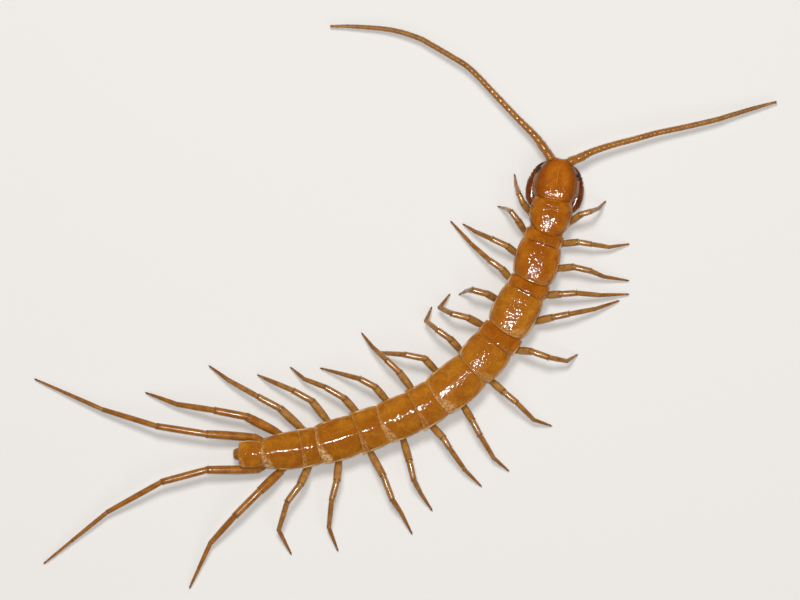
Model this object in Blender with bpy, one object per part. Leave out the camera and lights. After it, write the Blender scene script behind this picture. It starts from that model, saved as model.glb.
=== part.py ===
"""A stone centipede of the genus Eupolybothrus, life size, standing still on the floor.

The animal stands on its feet at z = 0 with its back up. Its head points to +Y, its trunk bends
round towards -X, and its last pair of legs trails behind. Lengths in this script are millimetres
and angles are degrees. add_solid turns them into metres.
"""

import math

import bmesh
import bpy
from mathutils import Vector

MM = 0.001
GAP = 0.3

# Where the head meets the trunk, seen from above, and the heading of the head
NECK = (13.3, 9.5)
HEAD_HEADING = 79.3

# Each trunk segment from the neck to the tail: length, heading of its rear, half width of its tergite
SEGMENTS = (
    (2.9, -103, 1.92),
    (0.9, -112, 1.76),
    (3.6, -106, 2.02),
    (1.0, -117, 1.86),
    (4.1, -118, 2.07),
    (1.3, -126, 1.94),
    (3.2, -131, 2.07),
    (4.1, -141, 2.05),
    (2.0, -149, 1.86),
    (3.5, -157, 1.94),
    (2.1, -160, 1.84),
    (3.9, -163, 1.90),
    (1.4, -168, 1.66),
    (3.7, -173, 1.70),
    (2.0, -178, 1.13),
)
FIRST_HEADING = -101
LAST_HEADING = -179

# Heights of a trunk segment's cross-section
TERGITE_TOP = 3.35
TERGITE_MARGIN = 2.3
TERGITE_LIP = 2.02
PLEURA_TOP = 1.92
LEG_ROOT_HEIGHT = 1.2
STERNITE_EDGE = 0.72
STERNITE_MIDDLE = 0.62
# The rearmost segments are flatter: the height of their tergites above the margin, as a share
REAR_RISE = {14: 0.9, 15: 0.6}
# Half widths below the tergite, as shares of the tergite's own
PLEURA_SHARE = 0.70
FLANK_SHARE = 0.62
STERNITE_SHARE = 0.52
# The outline of one tergite from front to rear: place along it, share of its width, share of its rise
TERGITE_OUTLINE = (
    (0.0, 0.84, 0.76),
    (0.1, 0.94, 0.88),
    (0.35, 1.0, 1.0),
    (0.72, 0.99, 1.0),
    (0.91, 0.92, 0.96),
    (1.0, 0.78, 0.86),
)

# The head shield from rear to front: distance from the neck, half width, height of its top
HEAD_RINGS = (
    (0.0, 1.67, 2.85),
    (0.35, 1.93, 3.05),
    (1.0, 2.16, 3.1),
    (1.7, 2.1, 3.0),
    (2.4, 1.82, 2.82),
    (3.0, 1.4, 2.6),
    (3.3, 1.12, 2.42),
    (3.55, 0.7, 2.25),
)
HEAD_EDGE = 1.95
HEAD_UNDERSIDE = 1.45

# The ocelli: where each group sits on the shield's margin, the way it faces, and its size
OCELLI_PLACE = (1.45, 2.75, 2.2)
OCELLI_FACING = (0.66, 0.44, 0.6)
OCELLI_HALF_LENGTH = 0.4
OCELLI_HALF_WIDTH = 0.28
OCELLI_HEIGHT = 0.35

# One forcipule from its base to its tip in the head's frame: to the side, forward, up, radius
FORCIPULE = (
    (1.92, -0.6, 0.95, 0.34),
    (2.08, -0.1, 0.92, 0.48),
    (2.14, 0.6, 0.9, 0.53),
    (2.02, 1.4, 0.9, 0.5),
    (1.75, 2.1, 0.9, 0.42),
    (1.38, 2.65, 0.9, 0.33),
    (0.95, 3.0, 0.88, 0.25),
    (0.55, 3.2, 0.86, 0.16),
    (0.25, 3.25, 0.85, 0.07),
)
# The plate under the head that carries the forcipules: forward, half width, underside
COXOSTERNITE = (
    (0.02, 1.15, 0.6),
    (0.5, 1.22, 0.46),
    (1.3, 1.1, 0.46),
    (1.9, 0.9, 0.52),
    (2.15, 0.6, 0.6),
)
COXOSTERNITE_TOP = 1.12

# The antennae: the root in the head's frame, then points along each one seen from above
ANTENNA_ROOT = (1.12, 3.74)
ANTENNA_POINTS = {
    "left": (
        (12.5, 14.2), (11.6, 15.4), (10.2, 16.8), (8.5, 18.6), (5.9, 21.3), (4.1, 22.5),
        (2.4, 23.5), (1.3, 24.1), (-0.5, 24.7), (-2.2, 25.0), (-5.0, 25.2), (-6.7, 25.2),
    ),
    "right": (
        (15.8, 13.4), (16.8, 13.9), (18.6, 14.5), (20.5, 15.0), (22.7, 15.6),
        (25.5, 16.2), (28.0, 16.8), (29.3, 17.2), (31.6, 17.9), (33.4, 18.4),
    ),
}
ANTENNA_ROOT_HEIGHT = 1.85
ANTENNA_TIP_HEIGHT = 0.45
ANTENNA_ROOT_RADIUS = 0.38
ANTENNA_RADIUS = 0.26
ANTENNA_TIP_RADIUS = 0.13
ANTENNA_STATIONS = 28

# Where each pair of legs is rooted along its segment
LEG_PLACES = (0.5, 0.55, 0.5, 0.62, 0.5, 0.62, 0.87, 0.66, 0.82, 0.66, 0.88, 0.66, 0.9, 0.62, 0.3)
# How each leg is held, seen from above: the headings of its prefemur, femur, tibia and tarsus, and their reach
LEG_POSES = {
    "left": (
        ((126, 114, 108, 97), (0.9, 0.9, 0.8, 0.9)),
        ((122, 128, 149, 162), (1.1, 1.0, 0.5, 0.6)),
        ((141, 155, 156, 148), (1.0, 1.5, 1.6, 1.2)),
        ((129, 145, 138, 132), (0.9, 1.4, 2.2, 2.7)),
        ((150, 165, -171, -153), (0.9, 1.4, 0.5, 0.6)),
        ((153, 166, 153, 53), (1.4, 1.5, 1.2, 1.4)),
        ((133, 145, 141, 67), (1.3, 1.4, 1.3, 1.2)),
        ((133, 169, 176, 172), (1.5, 1.8, 1.6, 0.8)),
        ((127, 137, 137, 128), (1.9, 1.5, 1.7, 1.5)),
        ((131, 152, 165, 165), (1.5, 1.5, 1.8, 1.8)),
        ((132, 150, 159, 140), (1.6, 2.0, 2.0, 1.5)),
        ((128, 151, 157, 156), (2.2, 1.9, 2.3, 1.1)),
        ((137, 152, 151, 144), (2.6, 2.3, 3.0, 2.1)),
        ((153, 169, 171, 160), (3.0, 2.9, 3.4, 3.0)),
        ((176, 171, 163, 156), (4.4, 4.5, 5.1, 6.8)),
    ),
    "right": (
        ((37, 17, 21, 45), (1.1, 0.9, 0.8, 0.8)),
        ((7, -9, -9, 9), (1.3, 1.2, 1.7, 1.7)),
        ((6, -6, -30, -9), (1.4, 1.6, 1.3, 2.2)),
        ((5, 4, -5, 2), (1.2, 1.4, 2.2, 2.5)),
        ((14, 11, 11, 19), (1.6, 1.5, 2.4, 2.2)),
        ((-4, -19, -12, 31), (1.3, 1.6, 1.7, 1.0)),
        ((-41, -40, -45, -19), (1.4, 1.5, 2.2, 1.6)),
        ((-59, -62, -59, -41), (1.5, 1.5, 2.4, 1.7)),
        ((-46, -59, -55, -45), (1.5, 1.0, 2.5, 2.0)),
        ((-74, -77, -63, -57), (2.0, 1.7, 1.4, 1.8)),
        ((-61, -69, -57, -63), (2.5, 2.3, 1.5, 2.0)),
        ((-96, -105, -96, -69), (1.7, 1.8, 2.5, 2.2)),
        ((-116, -127, -107, -63), (1.7, 1.9, 2.7, 2.4)),
        ((-137, -135, -132, -115), (2.5, 3.2, 3.3, 4.5)),
        ((180, -165, -151, -141), (4.5, 4.2, 5.6, 7.5)),
    ),
}
# Legs by number: how far a straight leg reaches, and how thick it is beside a middle leg
LEG_REACH = (5.2, 5.8, 6.4, 7.1, 7.3, 7.3, 7.4, 7.5, 7.6, 7.6, 7.9, 8.2, 9.8, 12.6, 21.0)
LEG_GIRTH = (0.9, 0.92, 0.96, 1.0, 1.0, 1.0, 1.0, 1.0, 1.0, 1.0, 1.0, 1.04, 1.08, 1.2, 1.18)
LEG_ROOT_GAP = 0.36
COXA_LENGTH = 0.4
COXA_RADIUS = 0.44
KNEE_HEIGHT = 1.75
KNEE_LIMIT = 2.5
# Each article of a leg: its radius near its root and near its end, and the neck after it
ARTICLES = (
    (0.33, 0.39, 0.31),
    (0.32, 0.36, 0.28),
    (0.28, 0.31, 0.25),
    (0.27, 0.25, 0.15),
)
ARTICLE_ROOT_SHARE = 0.2
ARTICLE_END_SHARE = 0.86
FOOT_RADIUS = 0.12
FOOT_RISE = 0.22

# The end of the trunk behind the last tergite: distance, half width, underside and top
TELSON_RINGS = (
    (0.0, 0.62, 0.95, 2.3),
    (0.35, 0.6, 0.95, 2.2),
    (0.65, 0.42, 1.1, 1.95),
)

# Colour and roughness of each kind of part
COLOURS = {
    "tergite": ((0.38, 0.15, 0.015), 0.35),
    "head": ((0.36, 0.12, 0.012), 0.3),
    "forcipule": ((0.3, 0.09, 0.01), 0.25),
    "leg": ((0.5, 0.27, 0.08), 0.4),
    "rear_leg": ((0.42, 0.18, 0.04), 0.32),
    "antenna": ((0.4, 0.17, 0.03), 0.4),
    "ocelli": ((0.02, 0.012, 0.008), 0.15),
}


def clear_scene():
    """Remove whatever the open scene holds."""
    for thing in list(bpy.data.objects):
        bpy.data.objects.remove(thing, do_unlink=True)


def make_materials():
    """Make one material for each kind of part."""
    materials = {}
    for name, (colour, roughness) in COLOURS.items():
        material = bpy.data.materials.new(name)
        material.use_nodes = True
        shader = material.node_tree.nodes["Principled BSDF"]
        shader.inputs["Base Color"].default_value = (*colour, 1.0)
        shader.inputs["Roughness"].default_value = roughness
        shader.inputs["Metallic"].default_value = 0.0
        materials[name] = material
    return materials


def loft(rings):
    """Join rings of points into one closed skin with flat ends."""
    skin = bmesh.new()
    loops = [[skin.verts.new(point) for point in ring] for ring in rings]
    count = len(rings[0])
    for near, far in zip(loops, loops[1:]):
        for i in range(count):
            j = (i + 1) % count
            skin.faces.new((near[i], near[j], far[j], far[i]))
    skin.faces.new(loops[0])
    skin.faces.new(loops[-1])
    return skin


def add_solid(name, skin, material):
    """Turn a skin in millimetres into a named object in metres, with its faces outwards."""
    bmesh.ops.recalc_face_normals(skin, faces=skin.faces)
    bmesh.ops.scale(skin, verts=skin.verts, vec=(MM, MM, MM))
    mesh = bpy.data.meshes.new(name)
    skin.to_mesh(mesh)
    skin.free()
    mesh.materials.append(material)
    mesh.shade_smooth()
    mesh.set_sharp_from_angle(angle=math.radians(40))
    solid = bpy.data.objects.new(name, mesh)
    bpy.context.collection.objects.link(solid)
    return solid


def plan_vector(heading):
    """Return the level unit vector with this heading."""
    angle = math.radians(heading)
    return Vector((math.cos(angle), math.sin(angle), 0.0))


def mirrored(half_profile):
    """Complete a half profile, from its top middle to its bottom middle, with its other side."""
    other_side = [(-across, height) for across, height in reversed(half_profile[1:-1])]
    return list(half_profile) + other_side


def profile_ring(centre, heading, half_profile):
    """Stand a profile upright on a point, square to a heading."""
    left = plan_vector(heading + 90)
    ground = Vector((centre[0], centre[1], 0.0))
    return [ground + left * across + Vector((0, 0, height)) for across, height in mirrored(half_profile)]


def round_ring(centre, heading, pitch, radius, sides):
    """Place a round ring square to a line that has this heading and climbs at this pitch."""
    left = plan_vector(heading + 90)
    climb = math.radians(pitch)
    forward = plan_vector(heading) * math.cos(climb) + Vector((0, 0, math.sin(climb)))
    up = forward.cross(left)
    ring = []
    for i in range(sides):
        angle = math.tau * (i + 0.5) / sides
        ring.append(centre + left * radius * math.cos(angle) + up * radius * math.sin(angle))
    return ring


def smooth_curve(points, stations):
    """Read evenly numbered points from a Catmull-Rom curve through the given ones."""
    first = points[0] * 2 - points[1]
    last = points[-1] * 2 - points[-2]
    knots = [first, *points, last]
    spans = len(points) - 1
    curve = []
    for k in range(stations):
        place = spans * k / (stations - 1)
        i = min(int(place), spans - 1)
        t = place - i
        a, b, c, d = knots[i:i + 4]
        curve.append((b * 2 + (c - a) * t + (a * 2 - b * 5 + c * 4 - d) * t * t
                      + (b * 3 - a - c * 3 + d) * t ** 3) / 2)
    return curve


def line_angles(curve):
    """Return the heading and the pitch of a curve at each of its points."""
    angles = []
    for i in range(len(curve)):
        step = curve[min(i + 1, len(curve) - 1)] - curve[max(i - 1, 0)]
        heading = math.degrees(math.atan2(step.y, step.x))
        pitch = math.degrees(math.atan2(step.z, math.hypot(step.x, step.y)))
        angles.append((heading, pitch))
    return angles


def trunk_joints():
    """Return the point and the heading of the midline where each segment ends."""
    points = [Vector((*NECK, 0.0))]
    for length, heading, _ in SEGMENTS:
        points.append(points[-1] + plan_vector(heading) * length)
    headings = [FIRST_HEADING]
    for (_, before, _), (_, after, _) in zip(SEGMENTS, SEGMENTS[1:]):
        headings.append((before + after) / 2)
    headings.append(LAST_HEADING)
    return points, headings


def midline(number, place):
    """Return the point and the heading at a share of the way along a numbered segment."""
    points, headings = trunk_joints()
    start, end = points[number - 1], points[number]
    length = SEGMENTS[number - 1][0]
    leave = plan_vector(headings[number - 1]) * length
    arrive = plan_vector(headings[number]) * length
    t = place
    point = (start * (2 * t ** 3 - 3 * t * t + 1) + leave * (t ** 3 - 2 * t * t + t)
             + end * (3 * t * t - 2 * t ** 3) + arrive * (t ** 3 - t * t))
    heading = headings[number - 1] + (headings[number] - headings[number - 1]) * t
    return point, heading


def trunk_profile(half_width, width_share, rise):
    """Return half of a segment's cross-section: an arched tergite with a lip over the narrower flank."""
    edge = half_width * width_share
    return (
        (0.0, TERGITE_MARGIN + rise),
        (edge * 0.36, TERGITE_MARGIN + rise * 0.93),
        (edge * 0.68, TERGITE_MARGIN + rise * 0.7),
        (edge * 0.9, TERGITE_MARGIN + rise * 0.35),
        (edge, TERGITE_MARGIN),
        (edge * 0.97, TERGITE_LIP),
        (half_width * PLEURA_SHARE, PLEURA_TOP),
        (half_width * FLANK_SHARE, LEG_ROOT_HEIGHT),
        (half_width * STERNITE_SHARE, STERNITE_EDGE),
        (0.0, STERNITE_MIDDLE),
    )


def make_trunk(materials):
    """Make the fifteen trunk segments, each a closed length of the body."""
    for number, (length, _, half_width) in enumerate(SEGMENTS, start=1):
        rise = (TERGITE_TOP - TERGITE_MARGIN) * REAR_RISE.get(number, 1.0)
        end_gap = GAP / 2 / length
        rings = []
        for place, width_share, rise_share in TERGITE_OUTLINE:
            centre, heading = midline(number, end_gap + (1 - 2 * end_gap) * place)
            rings.append(profile_ring(centre, heading, trunk_profile(half_width, width_share, rise * rise_share)))
        add_solid(f"trunk_{number:02d}", loft(rings), materials["tergite"])


def make_telson(materials):
    """Make the small end of the trunk behind the last tergite."""
    points, _ = trunk_joints()
    rings = []
    for distance, half_width, underside, top in TELSON_RINGS:
        centre = points[-1] + plan_vector(LAST_HEADING) * (distance + GAP / 2)
        middle = (underside + top) / 2
        profile = ((0.0, top), (half_width * 0.7, top - 0.12), (half_width, middle),
                   (half_width * 0.7, underside + 0.12), (0.0, underside))
        rings.append(profile_ring(centre, LAST_HEADING, profile))
    add_solid("telson", loft(rings), materials["tergite"])


def head_point(side, forward, height):
    """Turn a place in the head's frame, measured left and forward from the neck, into a point."""
    base = Vector((*NECK, height)) + plan_vector(HEAD_HEADING) * (forward + GAP / 2)
    return base + plan_vector(HEAD_HEADING + 90) * side


def head_profile(half_width, top):
    """Return half of the head shield's cross-section, a domed top on a flatter underside."""
    rise = top - HEAD_EDGE
    drop = HEAD_EDGE - HEAD_UNDERSIDE
    return (
        (0.0, top),
        (half_width * 0.35, HEAD_EDGE + rise * 0.94),
        (half_width * 0.66, HEAD_EDGE + rise * 0.76),
        (half_width * 0.88, HEAD_EDGE + rise * 0.42),
        (half_width, HEAD_EDGE),
        (half_width * 0.92, HEAD_EDGE - drop * 0.5),
        (half_width * 0.7, HEAD_UNDERSIDE + drop * 0.1),
        (0.0, HEAD_UNDERSIDE),
    )


def ocelli_frame(sign):
    """Return the place, the facing, the long way and the short way of one group of ocelli."""
    across, forward, height = OCELLI_PLACE
    place = head_point(sign * across, forward, height)
    out, ahead, up = OCELLI_FACING
    facing = plan_vector(HEAD_HEADING + 90) * sign * out + plan_vector(HEAD_HEADING) * ahead + Vector((0, 0, up))
    facing.normalize()
    long_way = facing.cross(Vector((0, 0, 1))).normalized()
    short_way = facing.cross(long_way)
    return place, facing, long_way, short_way


def make_head(materials):
    """Make the head shield, with a flat seat for each group of ocelli cut into its margin."""
    rings = []
    for forward, half_width, top in HEAD_RINGS:
        centre = head_point(0, forward, 0)
        rings.append(profile_ring(centre, HEAD_HEADING, head_profile(half_width, top)))
    skin = loft(rings)
    for sign in (1, -1):
        place, facing, _, _ = ocelli_frame(sign)
        cut = bmesh.ops.bisect_plane(
            skin, geom=skin.verts[:] + skin.edges[:] + skin.faces[:],
            plane_co=place - facing * GAP, plane_no=facing, clear_outer=True)
        seat = [item for item in cut["geom_cut"] if isinstance(item, bmesh.types.BMEdge)]
        bmesh.ops.edgeloop_fill(skin, edges=seat)
    add_solid("head", skin, materials["head"])


def make_ocelli(materials):
    """Make the two low domes that carry the simple eyes."""
    dome = ((0.0, 1.0), (0.4, 0.95), (0.8, 0.66), (1.0, 0.25))
    for side, sign in (("left", 1), ("right", -1)):
        place, facing, long_way, short_way = ocelli_frame(sign)
        rings = []
        for height_share, size_share in dome:
            centre = place + facing * OCELLI_HEIGHT * height_share
            ring = []
            for i in range(12):
                angle = math.tau * i / 12
                ring.append(centre + long_way * OCELLI_HALF_LENGTH * size_share * math.cos(angle)
                            + short_way * OCELLI_HALF_WIDTH * size_share * math.sin(angle))
            rings.append(ring)
        add_solid(f"ocelli_{side}", loft(rings), materials["ocelli"])


def make_forcipules(materials):
    """Make the two fangs that curve round below the head, and the plate that carries them."""
    for side, sign in (("left", 1), ("right", -1)):
        line = [head_point(sign * across, forward, height) for across, forward, height, _ in FORCIPULE]
        rings = []
        for point, (heading, pitch), (_, _, _, radius) in zip(line, line_angles(line), FORCIPULE):
            rings.append(round_ring(point, heading, pitch, radius, 10))
        add_solid(f"forcipule_{side}", loft(rings), materials["forcipule"])
    rings = []
    for forward, half_width, underside in COXOSTERNITE:
        centre = head_point(0, forward, 0)
        profile = ((0.0, COXOSTERNITE_TOP), (half_width * 0.8, COXOSTERNITE_TOP), (half_width, 0.9),
                   (half_width * 0.75, underside), (0.0, underside))
        rings.append(profile_ring(centre, HEAD_HEADING, profile))
    add_solid("forcipular_coxosternite", loft(rings), materials["forcipule"])


def antenna_radius(share):
    """Return an antenna's radius at a share of its length: stout at its root, slender at its tip."""
    if share < 0.2:
        return ANTENNA_ROOT_RADIUS + (ANTENNA_RADIUS - ANTENNA_ROOT_RADIUS) * share / 0.2
    if share < 0.85:
        return ANTENNA_RADIUS
    return ANTENNA_RADIUS + (ANTENNA_TIP_RADIUS - ANTENNA_RADIUS) * (share - 0.85) / 0.15


def make_antennae(materials):
    """Make the two long antennae as tapered tubes."""
    for side, sign in (("left", 1), ("right", -1)):
        root = head_point(sign * ANTENNA_ROOT[0], ANTENNA_ROOT[1], ANTENNA_ROOT_HEIGHT)
        points = [root]
        count = len(ANTENNA_POINTS[side])
        for i, (x, y) in enumerate(ANTENNA_POINTS[side], start=1):
            height = ANTENNA_ROOT_HEIGHT + (ANTENNA_TIP_HEIGHT - ANTENNA_ROOT_HEIGHT) * (i / count) ** 0.7
            points.append(Vector((x, y, height)))
        curve = smooth_curve(points, ANTENNA_STATIONS)
        rings = []
        for i, (point, (heading, pitch)) in enumerate(zip(curve, line_angles(curve))):
            rings.append(round_ring(point, heading, pitch, antenna_radius(i / (ANTENNA_STATIONS - 1)), 8))
        add_solid(f"antenna_{side}", loft(rings), materials["antenna"])


def leg_joints(side, number):
    """Return a leg's joints from its root on the flank to its foot, and the heading of each article."""
    sign = -1 if side == "left" else 1
    centre, heading = midline(number, LEG_PLACES[number - 1])
    outward = heading + 90 * sign
    half_width = SEGMENTS[number - 1][2]
    root = centre + plan_vector(outward) * (half_width * FLANK_SHARE + LEG_ROOT_GAP)
    root.z = LEG_ROOT_HEIGHT
    trochanter = root + plan_vector(outward) * COXA_LENGTH
    headings, reaches = LEG_POSES[side][number - 1]
    spare = max(0.0, LEG_REACH[number - 1] - sum(reaches))
    knee = min(KNEE_HEIGHT + 0.35 * spare, KNEE_LIMIT)
    heights = (LEG_ROOT_HEIGHT + (knee - LEG_ROOT_HEIGHT) * 0.75, knee, knee * 0.52, FOOT_RISE)
    joints = [root, trochanter]
    for article_heading, reach, height in zip(headings, reaches, heights):
        point = joints[-1] + plan_vector(article_heading) * reach
        point.z = height
        joints.append(point)
    return joints, (outward, *headings)


def make_leg(side, number, materials):
    """Make one leg from its coxa to its foot, with a flat sole on the floor."""
    joints, headings = leg_joints(side, number)
    girth = LEG_GIRTH[number - 1]
    pitches = []
    for near, far in zip(joints, joints[1:]):
        level = math.hypot(far.x - near.x, far.y - near.y)
        pitches.append(math.degrees(math.atan2(far.z - near.z, level)))
    sides = 6
    rings = [round_ring(joints[0], headings[0], 0, COXA_RADIUS * 0.85, sides),
             round_ring(joints[0].lerp(joints[1], 0.5), headings[0], 0, COXA_RADIUS, sides)]
    neck = COXA_RADIUS * 0.85
    for i, (root_radius, end_radius, next_neck) in enumerate(ARTICLES, start=1):
        near, far = joints[i], joints[i + 1]
        turn = (headings[i] - headings[i - 1] + 180) % 360 - 180
        rings.append(round_ring(near, headings[i - 1] + turn / 2, (pitches[i - 1] + pitches[i]) / 2, neck, sides))
        for share, radius in ((ARTICLE_ROOT_SHARE, root_radius), (ARTICLE_END_SHARE, end_radius)):
            point = near.lerp(far, share)
            rings.append(round_ring(point, headings[i], pitches[i], radius * girth, sides))
        neck = next_neck * girth
    foot = joints[-1]
    rings.append(round_ring(foot, headings[-1], pitches[-1] - 20, neck, sides))
    sole = foot + plan_vector(headings[-1]) * FOOT_RADIUS
    sole.z = 0.0
    rings.append(round_ring(sole, headings[-1], -90, FOOT_RADIUS, sides))
    kind = "leg" if number < 14 else "rear_leg"
    add_solid(f"leg_{side}_{number:02d}", loft(rings), materials[kind])


def main():
    """Build the whole animal."""
    clear_scene()
    materials = make_materials()
    make_head(materials)
    make_ocelli(materials)
    make_antennae(materials)
    make_forcipules(materials)
    make_trunk(materials)
    make_telson(materials)
    for side in ("left", "right"):
        for number in range(1, len(SEGMENTS) + 1):
            make_leg(side, number, materials)


main()
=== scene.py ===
# %% [markdown]
# A stone centipede, step by step
# This lesson dresses the plain solids of a stone centipede in their real shapes and finishes.
# The animal is an arthropod: hard glossy plates, joined by soft pale skin, with fifteen pairs of
# jointed legs. Each kind of piece gets its own cell, and each finish its own material.

# %% Load the solids
import math
import random

import bmesh
import bpy
from mathutils import Matrix, Vector


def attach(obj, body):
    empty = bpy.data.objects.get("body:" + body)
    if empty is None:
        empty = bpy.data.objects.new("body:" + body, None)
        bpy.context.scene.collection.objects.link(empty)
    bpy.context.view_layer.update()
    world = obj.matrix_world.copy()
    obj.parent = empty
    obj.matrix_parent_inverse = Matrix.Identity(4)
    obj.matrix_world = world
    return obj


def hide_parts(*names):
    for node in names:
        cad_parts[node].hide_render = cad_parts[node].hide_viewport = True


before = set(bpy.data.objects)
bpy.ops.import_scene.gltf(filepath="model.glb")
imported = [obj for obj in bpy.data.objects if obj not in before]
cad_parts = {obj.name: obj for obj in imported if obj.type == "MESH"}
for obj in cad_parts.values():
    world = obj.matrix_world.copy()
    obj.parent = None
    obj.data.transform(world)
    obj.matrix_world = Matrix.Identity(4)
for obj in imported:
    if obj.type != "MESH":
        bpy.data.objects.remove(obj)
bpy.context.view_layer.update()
MM = 0.001

# %% [markdown]
# The workshop scale
# The animal is 44 mm long, and many of Blender's tools have merge distances made for rooms. So
# each piece is modelled with one unit for one millimetre, and shrunk a thousand times at the end,
# when it also gets its name and its finish, and the solids that it stands for are hidden.

# %% Helpers for choosing and finishing a piece
TINY = 1e-4


def choose(*pieces):
    """Select only these objects, and make the first one active."""
    for thing in bpy.context.selected_objects:
        thing.select_set(False)
    for piece in pieces:
        piece.select_set(True)
    bpy.context.view_layer.objects.active = pieces[0]


def settle(piece):
    """Put a piece's place, turn and size into its mesh."""
    choose(piece)
    bpy.ops.object.transform_apply(location=True, rotation=True, scale=True)


def edit(piece, mode="VERT"):
    """Open a piece in edit mode with everything selected."""
    choose(piece)
    bpy.ops.object.mode_set(mode="EDIT")
    bpy.ops.mesh.select_mode(type=mode)
    bpy.ops.mesh.select_all(action="SELECT")


def close_edit():
    """Turn all faces outwards and go back to object mode."""
    bpy.ops.mesh.select_all(action="SELECT")
    bpy.ops.mesh.normals_make_consistent(inside=False)
    bpy.ops.object.mode_set(mode="OBJECT")


def resize(factors, centre):
    """In edit mode, resize the selection about a centre."""
    bpy.ops.transform.resize(value=factors, center_override=centre)


def move(step):
    """In edit mode, move the selection."""
    bpy.ops.transform.translate(value=step)


def add_modifier(piece, kind, **settings):
    """Add a modifier with these settings and apply it."""
    choose(piece)
    modifier = piece.modifiers.new(kind.title(), kind)
    for name, value in settings.items():
        setattr(modifier, name, value)
    bpy.ops.object.modifier_apply(modifier=modifier.name)


def soften(piece, levels=2):
    """Round a cage with a subdivision surface."""
    add_modifier(piece, "SUBSURF", levels=levels, render_levels=levels)


def copy_of(piece):
    """Return a copy of a piece with a mesh of its own."""
    twin = piece.copy()
    twin.data = piece.data.copy()
    bpy.context.collection.objects.link(twin)
    return twin


def join(pieces):
    """Join pieces into the first one."""
    choose(*pieces)
    bpy.ops.object.join()
    return pieces[0]


def new_object(name, data):
    """Make an object around this data and put it in the scene."""
    thing = bpy.data.objects.new(name, data)
    bpy.context.collection.objects.link(thing)
    return thing


def discard(piece):
    """Remove a helper object."""
    bpy.data.objects.remove(piece, do_unlink=True)


def paint(piece, material):
    """Give a whole piece one material."""
    piece.data.materials.clear()
    piece.data.materials.append(material)


def finish(piece, name, material=None, nodes=()):
    """Paint a piece, shrink it to real size, name it, and hide the solids that it stands for."""
    if material:
        paint(piece, material)
    piece.name = name
    piece.data.name = name
    piece.scale = (MM, MM, MM)
    settle(piece)
    bpy.ops.object.shade_smooth_by_angle(angle=math.radians(50))
    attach(piece, "root")
    if nodes:
        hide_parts(*nodes)


print("helpers ready")

# %% [markdown]
# Where each point lies on its piece
# Paint that follows a plate or a limb needs to know where it is on it. Every piece carries an
# attribute named lay: how far along the piece a point is, how far across, and a third number that
# is the place on the whole limb, or how pale a plate's hind band is. It is written while the
# piece is straight, it bends with the piece, and it is also the surest way to select by place.

# %% Write the lay of a piece, and select by it
def write_lay(piece, measure=lambda co: (0.5, 0.0, 0.0)):
    """Store what measure says of each vertex in the attribute that the materials read."""
    lay = piece.data.attributes.get("lay") or piece.data.attributes.new("lay", "FLOAT_VECTOR", "POINT")
    for vertex, value in zip(piece.data.vertices, lay.data):
        value.vector = measure(vertex.co)


def set_third(piece, third):
    """Change only the third number of a piece's lay."""
    for value in piece.data.attributes["lay"].data:
        value.vector = (value.vector[0], value.vector[1], third)


def pick(piece, test):
    """In edit mode, select the vertices whose lay, or else whose place, passes the test."""
    cage = bmesh.from_edit_mesh(piece.data)
    lay = cage.verts.layers.float_vector.get("lay")
    for vertex in cage.verts:
        vertex.select = test(*(vertex.co if lay is None else vertex[lay]))
    cage.select_flush_mode()
    bmesh.update_edit_mesh(piece.data)


def cut(axis, place):
    """In edit mode, cut the piece through by a plane across an axis."""
    point, normal = [0, 0, 0], [0, 0, 0]
    point[axis], normal[axis] = place, 1
    bpy.ops.mesh.select_all(action="SELECT")
    bpy.ops.mesh.bisect(plane_co=point, plane_no=normal, threshold=TINY)


def read_profile(profile, place):
    """Read the numbers of a profile at a place between its knots."""
    for near, far in zip(profile, profile[1:]):
        if place <= far[0]:
            share = (place - near[0]) / (far[0] - near[0])
            return [a + (b - a) * share for a, b in zip(near[1:], far[1:])]
    return list(profile[-1][1:])


# %% [markdown]
# The cuticle
# Centipede cuticle is lacquer over amber: clear, glossy and a little translucent, with cloudy
# patches of brown, fine pits that break up every highlight, and paler rims where it thins out.
# All the hard pieces share that, so it is one node group with named inputs, and each material
# sets its own colours, patch size, grain and gloss. A field stands for an output of a node, and
# plus, minus, times and power between fields add the nodes that do the sum.

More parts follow.
